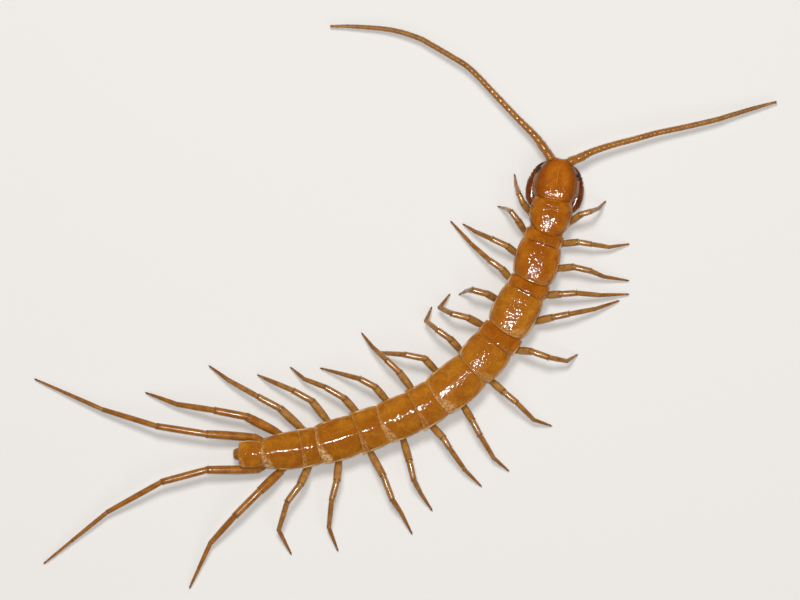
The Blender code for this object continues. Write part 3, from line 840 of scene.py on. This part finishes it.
# %% Model the head shield
SIDES = (("left", 1), ("right", -1))
NECK_REACH = 0.15
HEAD_START = -0.22
HEAD_LENGTH = 3.9
HEAD_HALF_WIDTH = 2.14
HEAD_MARGIN = 1.98
HEAD_RISE = 1.16
HEAD_SHAPE = (
    (0.0, 0.52, 0.86), (0.03, 0.74, 0.905), (0.07, 0.86, 0.955), (0.12, 0.92, 0.99), (0.2, 0.97, 0.995),
    (0.32, 1.0, 0.945), (0.46, 0.98, 0.86), (0.6, 0.91, 0.77), (0.72, 0.8, 0.66), (0.81, 0.68, 0.55),
    (0.88, 0.57, 0.46), (0.93, 0.47, 0.38), (0.97, 0.36, 0.3), (1.0, 0.22, 0.24),
)
HEAD_CREASES = (
    (lambda along, across, _: abs(across) < TINY and 0.35 < along < 0.85, 0.03),
    (lambda along, across, _: abs(along - 0.81) < TINY and 0.01 < abs(across) < 0.8, 0.02),
)


def to_head(piece):
    """Carry a piece from the head's frame, along X from the neck, to the animal's head."""
    piece.rotation_euler = (0, 0, math.radians(HEAD_HEADING))
    piece.location = Vector((*NECK, 0.0)) + plan_vector(HEAD_HEADING) * NECK_REACH
    settle(piece)


head_shield = make_plate(HEAD_START, HEAD_LENGTH, HEAD_HALF_WIDTH, HEAD_MARGIN, HEAD_RISE, HEAD_SHAPE,
                         power=5.0, bow=-0.03, lip=0.16, creases=HEAD_CREASES, unevenness=0.02,
                         extra_rows=(0.03,))
to_head(head_shield)
finish(head_shield, "head_shield", chestnut, ["head"])
print("head shield", len(head_shield.data.polygons), "faces")

# %% [markdown]
# Under the shield
# Below the shield the head is a flat capsule, and the clypeus, a small lobe, closes it between the
# feelers. Both are tubes drawn along the head, wide behind and narrow in front.

# %% Model the head capsule
CAPSULE_RINGS = (
    (-0.05, 1.1, 0.42, 1.85), (0.25, 1.6, 0.52, 1.8), (0.9, 1.84, 0.58, 1.76), (1.6, 1.86, 0.56, 1.76),
    (2.3, 1.62, 0.5, 1.78), (2.9, 1.26, 0.42, 1.82), (3.3, 0.92, 0.34, 1.86), (3.5, 0.62, 0.24, 1.9),
    (3.58, 0.4, 0.15, 1.92),
)
CLYPEUS_RINGS = (
    (2.9, 0.62, 0.2, 1.62), (3.3, 0.62, 0.26, 1.68), (3.52, 0.52, 0.24, 1.72), (3.62, 0.46, 0.2, 1.72),
    (3.66, 0.34, 0.12, 1.72),
)

lobes = [draw_tube("capsule", CAPSULE_RINGS, 36), draw_tube("clypeus", CLYPEUS_RINGS, 24)]
for lobe in lobes:
    soften(lobe, 1)
    write_lay(lobe, lambda co: (0.5, 0.5, 0.0))
head_capsule = join(lobes)
to_head(head_capsule)
finish(head_capsule, "head_capsule", chestnut)
print("head capsule", len(head_capsule.data.polygons), "faces")

# %% [markdown]
# The eyes
# A stone centipede sees with a patch of simple eyes on each side of the head: one large one and
# rows of small ones, black and shining like beads. Each bead is a flattened ball, and the patch is
# turned to face outwards and up from the head's margin.

# %% Model the ocelli
OCELLI_PLACE = (2.42, 1.8, 2.08)
OCELLI_FACING = (0.22, 0.68, 0.7)
OCELLI = (
    (-0.32, 0.0, 0.1), (-0.14, -0.09, 0.075), (-0.15, 0.07, 0.075), (0.0, -0.12, 0.07), (0.01, 0.02, 0.07),
    (0.0, 0.14, 0.06), (0.14, -0.1, 0.065), (0.15, 0.03, 0.065), (0.14, 0.14, 0.055), (0.27, -0.05, 0.06),
    (0.28, 0.06, 0.055),
)

for side, sign in SIDES:
    beads = []
    for x, y, radius in OCELLI:
        bpy.ops.mesh.primitive_uv_sphere_add(segments=14, ring_count=10, radius=radius, location=(x, y, 0.02))
        beads.append(bpy.context.object)
        beads[-1].scale = (1, 1, 0.8)
        settle(beads[-1])
    eyes = join(beads)
    write_lay(eyes)
    facing = Vector((OCELLI_FACING[0], sign * OCELLI_FACING[1], OCELLI_FACING[2])).normalized()
    upward = (Vector((0, 0, 1)) - facing * facing.z).normalized()
    forward = upward.cross(facing) * (1 if upward.cross(facing).x > 0 else -1)
    turn = Matrix((forward, facing.cross(forward), facing)).transposed().to_4x4()
    eyes.matrix_world = Matrix.Translation((OCELLI_PLACE[0], sign * OCELLI_PLACE[1], OCELLI_PLACE[2])) @ turn
    settle(eyes)
    to_head(eyes)
    finish(eyes, f"eyes_{side}", eye_black, [f"ocelli_{side}"])
print("eye patch", len(eyes.data.polygons), "faces")

# %% [markdown]
# The fangs
# The first pair of legs has become fangs that curve round under the head to meet in front. Each
# is drawn straight, thick at its base, pinched at its three joints and drawn out to a sharp claw,
# and is then bent along its own curve.

# %% Model the fangs
FORCIPULE = (
    (1.42, -0.82, 1.0), (1.86, -0.4, 0.94), (2.02, 0.1, 0.9), (2.05, 0.6, 0.9), (2.02, 1.4, 0.9),
    (1.88, 2.1, 0.9), (1.58, 2.7, 0.9), (1.15, 3.08, 0.88), (0.65, 3.28, 0.86), (0.26, 3.34, 0.85),
)
FANG_PROFILE = (
    (0.0, 0.06), (0.008, 0.22), (0.03, 0.35), (0.08, 0.46), (0.16, 0.54), (0.28, 0.58), (0.42, 0.56),
    (0.49, 0.5), (0.505, 0.4), (0.52, 0.46), (0.56, 0.44), (0.575, 0.36), (0.59, 0.42), (0.62, 0.4),
    (0.635, 0.32), (0.65, 0.37), (0.7, 0.33), (0.76, 0.27), (0.82, 0.21), (0.88, 0.15), (0.94, 0.09),
    (0.98, 0.045), (1.0, 0.012),
)


def draw_mouthpart(points, profile, sign, steps, sides, flatness=1.0, pale=0.0):
    """Draw a limb under the head along its own curve, pale up to a share of its length."""
    line = smooth_curve([Vector((ahead, sign * aside, height)) for aside, ahead, height in points], steps)
    length = curve_length(line)
    limb = draw_round("mouthpart", profile, sides, length, flatness)
    write_lay(limb, lambda co: (0.5, 0.0, max(0.0, co.x / length * (1 + pale) - pale)))
    bend_along(limb, line)
    to_head(limb)
    print("mouthpart", round(length, 1), "mm long")
    return limb


for side, sign in SIDES:
    limb = draw_mouthpart(FORCIPULE, FANG_PROFILE, sign, 60, 20, flatness=0.82, pale=0.6)
    finish(limb, f"fang_{side}", fang, [f"forcipule_{side}"])

# %% [markdown]
# The mouth palps
# Between the fangs and the head lie the maxillae, whose two jointed palps show in front of the
# mouth. Each is a thin drawn tube with three swellings, bent like the fangs.

# %% Model the palps
PALP = ((0.75, 2.0, 1.36), (0.84, 2.6, 1.34), (0.72, 3.1, 1.33), (0.4, 3.38, 1.33), (0.08, 3.42, 1.33))
PALP_PROFILE = (
    (0.0, 0.13), (0.15, 0.16), (0.36, 0.15), (0.4, 0.12), (0.45, 0.14), (0.62, 0.14), (0.66, 0.11),
    (0.71, 0.125), (0.85, 0.115), (0.96, 0.07), (1.0, 0.02),
)

palps = join([draw_mouthpart(PALP, PALP_PROFILE, sign, 40, 16) for _, sign in SIDES])
finish(palps, "mouth_palps", rust_leg)

# %% [markdown]
# The plate that carries the fangs
# The fangs' bases are joined under the head in one broad plate, with a toothed front edge. It is
# a box with its cage pulled in and rounded, and the teeth are small cones.

# %% Model the coxosternite
FANG_PLATE_PLACE = (1.06, 0, 0.79)
FANG_PLATE_SIZE = (2.1, 2.4, 0.6)
FANG_PLATE_CUTS = ((0, (0.6, 1.2, 1.75)), (1, (-0.6, -0.06, 0.06, 0.6)))
FRONT_EDGE = 2.1
TEETH = 10
TOOTH_SPACING = 0.13
TOOTH_RADIUS = 0.06
TOOTH_LENGTH = 0.17

bpy.ops.mesh.primitive_cube_add(size=1, location=FANG_PLATE_PLACE)
fang_plate = bpy.context.object
fang_plate.scale = FANG_PLATE_SIZE
settle(fang_plate)
edit(fang_plate)
for axis, places in FANG_PLATE_CUTS:
    for place in places:
        cut(axis, place)
pick(fang_plate, lambda x, y, z: x > 1.7)
resize((1, 0.86, 0.9), (1.75, 0, 0.85))
pick(fang_plate, lambda x, y, z: x > 2.0)
resize((1, 0.72, 0.7), (FRONT_EDGE, 0, 0.9))
pick(fang_plate, lambda x, y, z: abs(y) < 0.1 and (z < 0.6 or x > 2.0))
move((-0.08, 0, 0.08))
close_edit()
soften(fang_plate, 2)
teeth = []
for k in range(TEETH):
    y = (k - (TEETH - 1) / 2) * TOOTH_SPACING
    bpy.ops.mesh.primitive_cone_add(vertices=10, radius1=TOOTH_RADIUS, depth=TOOTH_LENGTH,
                                    location=(FRONT_EDGE - abs(y) * 0.2, y, 0.86),
                                    rotation=(0, math.pi / 2, 0))
    teeth.append(bpy.context.object)
    settle(teeth[-1])
fang_plate = join([fang_plate, *teeth])
write_lay(fang_plate, lambda co: (0.5, 0.0, 0.9 if co.x > 2.08 else 0.1))
to_head(fang_plate)
finish(fang_plate, "forcipule_plate", fang, ["forcipular_coxosternite"])
print("fang plate with", TEETH, "teeth")

# %% [markdown]
# The feelers
# Each feeler is a string of 46 short rings, each a little swollen before its end. One ring is
# drawn and copied along X with lengths that shorten towards the tip, a raised collar is drawn
# round the root, and a Curve modifier bends the joined row along the feeler's own line.

# %% Model the feelers
ANTENNA_ROOT = (0.99, 3.66)
ANTENNA_POINTS = {
    "left": (
        (12.5, 14.2), (11.6, 15.4), (10.2, 16.8), (8.5, 18.6), (5.9, 21.3), (4.1, 22.5),
        (2.4, 23.5), (1.3, 24.1), (-0.5, 24.7), (-2.2, 25.0), (-5.0, 25.2), (-6.7, 25.2),
    ),
    "right": (
        (15.8, 13.4), (16.8, 13.9), (18.6, 14.5), (20.5, 15.0), (22.7, 15.6),
        (25.5, 16.2), (28.0, 16.8), (29.3, 17.2), (31.6, 17.9), (33.4, 18.4),
    ),
}
ANTENNA_HEIGHTS = (1.85, 0.45)
ANTENNA_ARTICLES = 46
ANTENNA_RADII = (
    (0.0, 0.41), (0.05, 0.4), (0.1, 0.33), (0.2, 0.29), (0.4, 0.265), (0.7, 0.235), (0.88, 0.19), (1.0, 0.1),
)
ANTENNA_DROOP = 1.4
ANTENNA_STEPS = 140
ROOT_RINGS = (2.0, 1.8)
ROOT_LENGTH = 0.35
COLLAR = ((0.0, 0.3), (0.1, 0.38), (0.25, 0.425), (0.38, 0.43), (0.46, 0.41))
RING_PROFILE = ((0.0, 0.86), (0.08, 0.95), (0.3, 0.985), (0.6, 1.0), (0.85, 0.995), (0.95, 0.95), (1.0, 0.86))
RING_OVERLAP = 1.04
HAIRS_PER_RING = 9
HAIR_RADIUS = 0.01


def spoke(turn):
    """Return the way out from a limb along X at this turn round it."""
    return Vector((0, math.cos(turn), math.sin(turn)))


def bristle_mesh(bristles):
    """Make thin three-sided spikes, each from its foot, tip and thickness, in one mesh."""
    points, faces = [], []
    for foot, tip, radius in bristles:
        way = (tip - foot).normalized()
        side = way.orthogonal().normalized()
        other = way.cross(side)
        first = len(points)
        for k in range(3):
            turn = math.tau * k / 3
            points.append(foot + (side * math.cos(turn) + other * math.sin(turn)) * radius)
        points.append(tip)
        faces += [(first, first + 1, first + 3), (first + 1, first + 2, first + 3),
                  (first + 2, first, first + 3), (first + 2, first + 1, first)]
    data = bpy.data.meshes.new("hairs")
    data.from_pydata(points, [], faces)
    spikes = new_object("hairs", data)
    write_lay(spikes, lambda co: (0.5, 0.0, 0.5))
    paint(spikes, bristle)
    return spikes


def antenna_line(side, sign):
    """Return the smooth line of one feeler, from inside the head to its tip."""
    high, low = ANTENNA_HEIGHTS
    aside, ahead = ANTENNA_ROOT
    points = [Vector((*NECK, high)) + plan_vector(HEAD_HEADING) * (ahead + NECK_REACH)
              + plan_vector(HEAD_HEADING + 90) * (sign * aside)]
    count = len(ANTENNA_POINTS[side])
    for i, (x, y) in enumerate(ANTENNA_POINTS[side], start=1):
        points.append(Vector((x, y, high + (low - high) * (i / count) ** ANTENNA_DROOP)))
    line = smooth_curve(points, ANTENNA_STEPS)
    line.insert(0, line[0] - (line[1] - line[0]).normalized() * ROOT_LENGTH)
    return line


def make_antenna(side, sign, rng):
    """Model one feeler straight and bend it along its line."""
    line = antenna_line(side, sign)
    length = curve_length(line)
    others = range(ANTENNA_ARTICLES - len(ROOT_RINGS))
    weights = [*ROOT_RINGS, *[1.12 - 0.2 * i / ANTENNA_ARTICLES for i in others]]
    unit = length / sum(weights)
    ring = draw_round("ring", RING_PROFILE, 16)
    write_lay(ring, lambda co: (co.x, 0.0, 0.0))
    paint(ring, feeler)
    articles, bristles, x = [], [], 0.0
    for weight in weights:
        articles.append(copy_of(ring))
        radius = read_profile(ANTENNA_RADII, x / length)[0]
        articles[-1].scale = (weight * unit * RING_OVERLAP, radius, radius)
        articles[-1].location.x = x
        for _ in range(HAIRS_PER_RING):
            out = spoke(rng.random() * math.tau)
            foot = Vector((x + weight * unit * rng.uniform(0.25, 0.95), 0, 0)) + out * radius * 0.9
            tip = foot + (out * 0.45 + Vector((0.9, 0, 0))) * rng.uniform(0.1, 0.2)
            bristles.append((foot, tip, HAIR_RADIUS))
        x += weight * unit
    discard(ring)
    collar = draw_round("collar", COLLAR, 28)
    write_lay(collar)
    paint(collar, feeler)
    antenna = join([*articles, collar])
    settle(antenna)
    antenna = join([antenna, bristle_mesh(bristles)])
    for vertex, value in zip(antenna.data.vertices, antenna.data.attributes["lay"].data):
        value.vector = (value.vector[0], 0.0, vertex.co.x / length)
    bend_along(antenna, line)
    finish(antenna, f"feeler_{side}", nodes=[f"antenna_{side}"])
    print("feeler", side, round(length, 1), "mm,", len(articles), "rings")


for side, sign in SIDES:
    make_antenna(side, sign, random.Random(11 + sign))

# %% [markdown]
# The parts of a leg
# A leg has a stout coxa at the body, then prefemur, femur, tibia and two tarsal articles. Each is
# a spindle, narrow where it leaves the one before and a little flared where the next one plugs
# into its cuff of folded skin. A dark hinge pin crosses each joint, spurs stand at the ends of the
# first three articles, and a claw ends the leg. Each part is drawn once. Those that are stretched
# to a length have one unit of it and their real thickness, and the cuff has a radius of one unit.

# %% Draw the leg's parts once
ARTICLES = {
    "prefemur": ((0.0, 0.26), (0.04, 0.295), (0.14, 0.325), (0.35, 0.35), (0.6, 0.355), (0.8, 0.345),
                 (0.92, 0.33), (0.97, 0.325), (1.0, 0.29), (0.99, 0.23)),
    "femur": ((0.0, 0.25), (0.05, 0.275), (0.2, 0.285), (0.5, 0.285), (0.8, 0.278), (0.93, 0.27),
              (0.97, 0.27), (1.0, 0.24), (0.99, 0.19)),
    "tibia": ((0.0, 0.2), (0.05, 0.225), (0.2, 0.236), (0.5, 0.23), (0.8, 0.21), (0.93, 0.198),
              (0.97, 0.2), (1.0, 0.175), (0.99, 0.15)),
    "first_tarsal": ((0.0, 0.16), (0.06, 0.175), (0.2, 0.18), (0.55, 0.168), (0.9, 0.145), (0.97, 0.142),
                     (1.0, 0.12)),
    "second_tarsal": ((0.0, 0.12), (0.06, 0.13), (0.3, 0.126), (0.65, 0.108), (0.9, 0.085), (1.0, 0.055)),
}
COXA = ((0.0, 0.46), (0.25, 0.5), (0.5, 0.47), (0.75, 0.42), (0.9, 0.36), (0.95, 0.33), (1.0, 0.26))
CLAW = ((0.0, 0.1, 0.0), (0.2, 0.095, 0.0), (0.45, 0.07, -0.03), (0.7, 0.04, -0.09), (0.9, 0.02, -0.17),
        (1.0, 0.005, -0.22))
SPUR = ((0.0, 0.034), (0.3, 0.027), (0.7, 0.015), (1.0, 0.003))
CUFF = ((-1.0, 0.7), (-0.7, 0.9), (-0.45, 0.86), (-0.2, 0.97), (0.0, 0.9), (0.2, 0.97), (0.45, 0.86),
        (0.7, 0.9), (1.0, 0.7))
PIN = ((-1.0, 0.035), (-0.9, 0.06), (-0.7, 0.07), (0.7, 0.07), (0.9, 0.06), (1.0, 0.035))


def part_tube(name, profile, sides=18, material=None):
    """Draw a leg part along X and write its lay."""
    tube = draw_round(name, profile, sides)
    widest = max(knot[1] for knot in profile)
    write_lay(tube, lambda co: (co.x, abs(co.y) / widest, 0.0))
    if material:
        paint(tube, material)
    return tube


articles = [part_tube(name, profile) for name, profile in ARTICLES.items()]
coxa_part = part_tube("coxa", COXA)
claw_part = part_tube("claw", CLAW, 10, horn)
spur_part = part_tube("spur", SPUR, 6, bristle)
cuff_part = part_tube("cuff", CUFF, 14, rust_leg)
write_lay(cuff_part, lambda co: (0.5, 0.0, 0.4))
pin_part = part_tube("pin", PIN, 8, horn)
leg_parts = [*articles, coxa_part, claw_part, spur_part, cuff_part, pin_part]
print("leg parts", [part.name for part in leg_parts])

# %% [markdown]
# How the legs are held
# Each leg repeats the pose of its solid: the headings of its articles seen from above, how far
# each one reaches, and how high the knee stands when a long leg is drawn in.

# %% Work out the joints of a leg
LEG_POSES = {
    "left": (
        ((126, 114, 108, 97), (0.9, 0.9, 0.8, 0.9)), ((122, 128, 149, 162), (1.1, 1.0, 0.5, 0.6)),
        ((141, 155, 156, 148), (1.0, 1.5, 1.6, 1.2)), ((129, 145, 138, 132), (0.9, 1.4, 2.2, 2.7)),
        ((150, 165, -171, -153), (0.9, 1.4, 0.5, 0.6)), ((153, 166, 153, 53), (1.4, 1.5, 1.2, 1.4)),
        ((133, 145, 141, 67), (1.3, 1.4, 1.3, 1.2)), ((133, 169, 176, 172), (1.5, 1.8, 1.6, 0.8)),
        ((127, 137, 137, 128), (1.9, 1.5, 1.7, 1.5)), ((131, 152, 165, 165), (1.5, 1.5, 1.8, 1.8)),
        ((132, 150, 159, 140), (1.6, 2.0, 2.0, 1.5)), ((128, 151, 157, 156), (2.2, 1.9, 2.3, 1.1)),
        ((137, 152, 151, 144), (2.6, 2.3, 3.0, 2.1)), ((153, 169, 171, 160), (3.0, 2.9, 3.4, 3.0)),
        ((176, 171, 163, 156), (4.4, 4.5, 5.1, 6.8)),
    ),
    "right": (
        ((37, 17, 21, 45), (1.1, 0.9, 0.8, 0.8)), ((7, -9, -9, 9), (1.3, 1.2, 1.7, 1.7)),
        ((6, -13, -23, -9), (1.4, 1.6, 1.3, 2.2)), ((5, 4, -5, 2), (1.2, 1.4, 2.2, 2.5)),
        ((14, 11, 11, 19), (1.6, 1.5, 2.4, 2.2)), ((-4, -19, -12, 31), (1.3, 1.6, 1.7, 1.0)),
        ((-41, -40, -45, -19), (1.4, 1.5, 2.2, 1.6)), ((-59, -62, -59, -41), (1.5, 1.5, 2.4, 1.7)),
        ((-46, -59, -55, -45), (1.5, 1.0, 2.5, 2.0)), ((-74, -77, -63, -57), (2.0, 1.7, 1.4, 1.8)),
        ((-61, -69, -57, -63), (2.5, 2.3, 1.5, 2.0)), ((-96, -105, -96, -69), (1.7, 1.8, 2.5, 2.2)),
        ((-116, -127, -107, -63), (1.7, 1.9, 2.7, 2.4)), ((-137, -135, -132, -115), (2.5, 3.2, 3.3, 4.5)),
        ((180, -165, -151, -141), (4.5, 4.2, 5.6, 7.5)),
    ),
}
LEG_REACH = (5.2, 5.8, 6.4, 7.1, 7.3, 7.3, 7.4, 7.5, 7.6, 7.6, 7.9, 8.2, 9.8, 12.6, 21.0)
LEG_GIRTH = (0.9, 0.92, 0.96, *[1.0] * 8, 1.04, 1.08, 1.2, 1.12)
LEG_ROOT_HEIGHT = 1.2
ROOT_OFFSET = 0.36
FLANK_SHARE = 0.62
COXA_LENGTH = 0.4
KNEE_HEIGHT = 1.75
KNEE_LIMIT = 2.5
KNEE_LIFT = 0.35
ANKLE_SHARE = 0.52
FOOT_RISE = 0.22


def leg_joints(side, number):
    """Return a leg's joints, from its root on the flank to its foot, and the way the coxa points."""
    centre, heading = midline(number, LEG_PLACES[number - 1])
    outward = plan_vector(heading - 90 if side == "left" else heading + 90)
    root = centre + outward * (SEGMENTS[number - 1][2] * FLANK_SHARE + ROOT_OFFSET)
    root.z = LEG_ROOT_HEIGHT
    joints = [root, root + outward * COXA_LENGTH]
    headings, reaches = LEG_POSES[side][number - 1]
    spare = max(0.0, LEG_REACH[number - 1] - sum(reaches))
    knee = min(KNEE_HEIGHT + KNEE_LIFT * spare, KNEE_LIMIT)
    heights = (knee - 0.02, knee, knee * ANKLE_SHARE, FOOT_RISE)
    for heading, seam_highlight_reach, height in zip(headings, reaches, heights):
        point = joints[-1] + plan_vector(heading) * seam_highlight_reach
        point.z = height
        joints.append(point)
    return joints, outward


print("left leg 1 has its foot at", [round(v, 1) for v in leg_joints("left", 1)[0][-1]])

# %% [markdown]
# Putting a leg together
# Every part lies along X, so a part is placed by turning X towards the next joint while its top
# stays up. Cuffs sit in the joints, spurs stand round the ends, and short bristles are scattered
# over the articles with a seeded random draw.

# %% Assemble the legs
CUFF_RADII = (0.29, 0.275, 0.235, 0.18, 0.132)
PIN_REACH = (0.3, 0.3, 0.255, 0.195, 0.14)
END_RADII = (0.31, 0.27, 0.21, 0.15, 0.09)
LIMB_PLACES = (0.05, 0.3, 0.5, 0.7, 0.9)
SPUR_TURNS = ((20, 90, 160, 230, 310), (20, 90, 160, 310), (90, 230), (), ())
SPUR_LENGTH = 0.24
TARSAL_SHARES = (0.56, 0.96)
COXA_ROOT = 0.5
CLAW_LENGTH = 0.3
CLAW_OVERLAP = 0.03
BRISTLE_RADIUS = 0.011


def aim(near, far):
    """Return the turn that takes X from near towards far, with Z as high as it can be."""
    forward = (far - near).normalized()
    left = Vector((0, 0, 1)).cross(forward).normalized()
    return Matrix((forward, left, forward.cross(left))).transposed().to_4x4()


def set_part(part, near, far, size):
    """Copy a part, resize it along its own axes and set it at near, aimed at far."""
    twin = copy_of(part)
    twin.matrix_world = Matrix.Translation(near) @ aim(near, far) @ size
    return twin


def stretch(length, girth):
    """Return the resizing of a part to a length and a girth."""
    return Matrix.Diagonal((length, girth, girth, 1.0))


def scatter_bristles(near, far, radius, rng):
    """Return bristles that lean towards the far end of one article."""
    turn_to = aim(near, far).to_3x3()
    bristles = []
    for _ in range(int(8 + 6 * (far - near).length)):
        out = turn_to @ spoke(rng.random() * math.tau)
        foot = near.lerp(far, rng.uniform(0.15, 0.95)) + out * radius * 0.9
        lean = out * rng.uniform(0.4, 0.7) + (far - near).normalized() * 0.8
        bristles.append((foot, foot + lean * rng.uniform(0.1, 0.2), BRISTLE_RADIUS))
    return bristles


def place_spurs(near, far, radius, turns, rng):
    """Stand spurs round the far end of an article."""
    turn_to = aim(near, far).to_3x3()
    forward = (far - near).normalized()
    spurs = []
    for turn in turns:
        out = turn_to @ spoke(math.radians(turn + rng.uniform(-8, 8)))
        foot = near.lerp(far, 0.95) + out * radius * 0.95
        tip = foot + (forward * 0.9 + out * 0.36) * SPUR_LENGTH
        spurs.append(set_part(spur_part, foot, tip, stretch((tip - foot).length, 1.0)))
    return spurs


def make_leg(side, number, rng):
    """Assemble one leg between its joints."""
    joints, outward = leg_joints(side, number)
    girth = LEG_GIRTH[number - 1]
    cuticle, slot = (rust_leg, "rear_leg_cuticle") if number > 13 else (tan_leg, "leg_cuticle")
    knee, ankle, foot = joints[1], joints[4], joints[5]
    stations = joints[1:5] + [ankle.lerp(foot, share) for share in TARSAL_SHARES]
    lean = (outward + plan_vector(LEG_POSES[side][number - 1][0][0])).normalized()
    root = knee - lean * (COXA_LENGTH + COXA_ROOT)
    pieces = [set_part(coxa_part, root, knee, stretch((knee - root).length, min(girth, 1.05)))]
    paint(pieces[0], cuticle)
    bristles = []
    for i, (article, near, far) in enumerate(zip(articles, stations, stations[1:])):
        pin_size = Matrix.Rotation(math.pi / 2, 4, "Z") @ Matrix.Diagonal((PIN_REACH[i] * girth, 1, 1, 1))
        limb = set_part(article, near, far, stretch((far - near).length, girth))
        set_third(limb, LIMB_PLACES[i])
        paint(limb, cuticle)
        pieces += [set_part(cuff_part, near, far, Matrix.Scale(CUFF_RADII[i] * girth, 4)),
                   set_part(pin_part, near, far, pin_size), limb]
        pieces += place_spurs(near, far, END_RADII[i] * girth, SPUR_TURNS[i], rng)
        bristles += scatter_bristles(near, far, END_RADII[i] * girth, rng)
    heel = stations[-1]
    level = Vector((foot.x - heel.x, foot.y - heel.y, 0)).normalized()
    claw_root = heel - level * CLAW_OVERLAP
    pieces.append(set_part(claw_part, claw_root, claw_root + level, stretch(CLAW_LENGTH, 1.0)))
    pieces.append(bristle_mesh(bristles))
    for piece in pieces:
        settle(piece)
    leg = join(pieces)
    finish(leg, f"{side}_leg_{number:02d}", nodes=[f"leg_{side}_{number:02d}"])
    return leg


rng = random.Random(5)
for side, _ in SIDES:
    for number, *_ in spans:
        leg = make_leg(side, number, rng)
for part in leg_parts:
    discard(part)
print("thirty legs, the last with", len(leg.data.polygons), "faces")

# %% [markdown]
# The end of the trunk
# Behind the last plate comes the short telson, a rust-brown ringed cone that droops a little.

# %% Model the telson
TELSON_RINGS = (
    (-0.2, 0.5, 0.6, 1.75), (0.08, 0.56, 0.66, 1.65), (0.3, 0.54, 0.6, 1.58), (0.38, 0.5, 0.54, 1.56),
    (0.42, 0.52, 0.56, 1.56), (0.6, 0.4, 0.44, 1.52), (0.66, 0.26, 0.3, 1.5),
)

telson = draw_tube("telson", [(trunk_end + after, *ring) for after, *ring in TELSON_RINGS], 24)
soften(telson, 1)
write_lay(telson, lambda co: (0.5, 0.0, 0.5))
bend(telson, trunk_guide)
finish(telson, "tail_end", rust_leg, ["telson"])
discard(trunk_guide)
print("telson done")

# %% [markdown]
# The studio
# The photograph looks straight down. A small flash under the lens draws the sharp highlights, a
# larger soft box above the picture's top edge gives the shading and lets soft shadows fall down the
# picture, and a wide weak one and a pale sky fill them. Of the lamps, only the flash shows in gloss.

# %% Set up the floor, the light and the camera
PIXEL = 0.09 * MM
IMAGE = (800, 600)
CENTRE_PIXEL = (405.0, 306.5)
SENSOR = 36.0
CAMERA_HEIGHT = 0.9
FLOOR_DROP = 0.02 * MM

bpy.ops.mesh.primitive_plane_add(size=3.0, location=(0, 0, -FLOOR_DROP))
floor = bpy.context.object
floor.name = "floor"
floor_paint = bpy.data.materials.new("floor_paint")
floor_paint.use_nodes = True
floor_tree = floor_paint.node_tree
feed(floor_tree, floor_tree.nodes["Principled BSDF"], {"Base Color": (0.72, 0.70, 0.67), "Roughness": 0.9})
paint(floor, floor_paint)


def add_soft_box(name, place, size, watts, reflected=True):
    """Hang a square area light at a place, facing the model, and say whether gloss reflects it."""
    data = bpy.data.lights.new(name, "AREA")
    data.size = size
    data.energy = watts
    light = new_object(name, data)
    light.location = place
    light.rotation_euler = (Vector() - Vector(place)).to_track_quat("-Z", "Y").to_euler()
    light.visible_glossy = reflected


add_soft_box("flash", (0.0, 0.0, 0.45), 0.027, 1.05)
add_soft_box("key", (-0.03, 0.2, 0.45), 0.12, 1.3, False)
add_soft_box("fill", (0.2, -0.25, 0.35), 0.3, 0.31, False)
world = bpy.data.worlds.new("sky")
world.use_nodes = True
feed(world.node_tree, world.node_tree.nodes["Background"], {"Color": (1.0, 0.98, 0.95), "Strength": 0.1})
bpy.context.scene.world = world
bpy.context.scene.view_settings.view_transform = "Standard"

camera_data = bpy.data.cameras.new("camera")
camera_data.sensor_width = SENSOR
camera_data.lens = SENSOR * CAMERA_HEIGHT / (IMAGE[0] * PIXEL)
camera_data.clip_start = 0.01
camera = new_object("camera", camera_data)
camera.location = ((IMAGE[0] / 2 - CENTRE_PIXEL[0]) * PIXEL, (CENTRE_PIXEL[1] - IMAGE[1] / 2) * PIXEL,
                   CAMERA_HEIGHT)
bpy.context.scene.camera = camera
print("camera", [round(v, 4) for v in camera.location], "lens", round(camera_data.lens, 1))
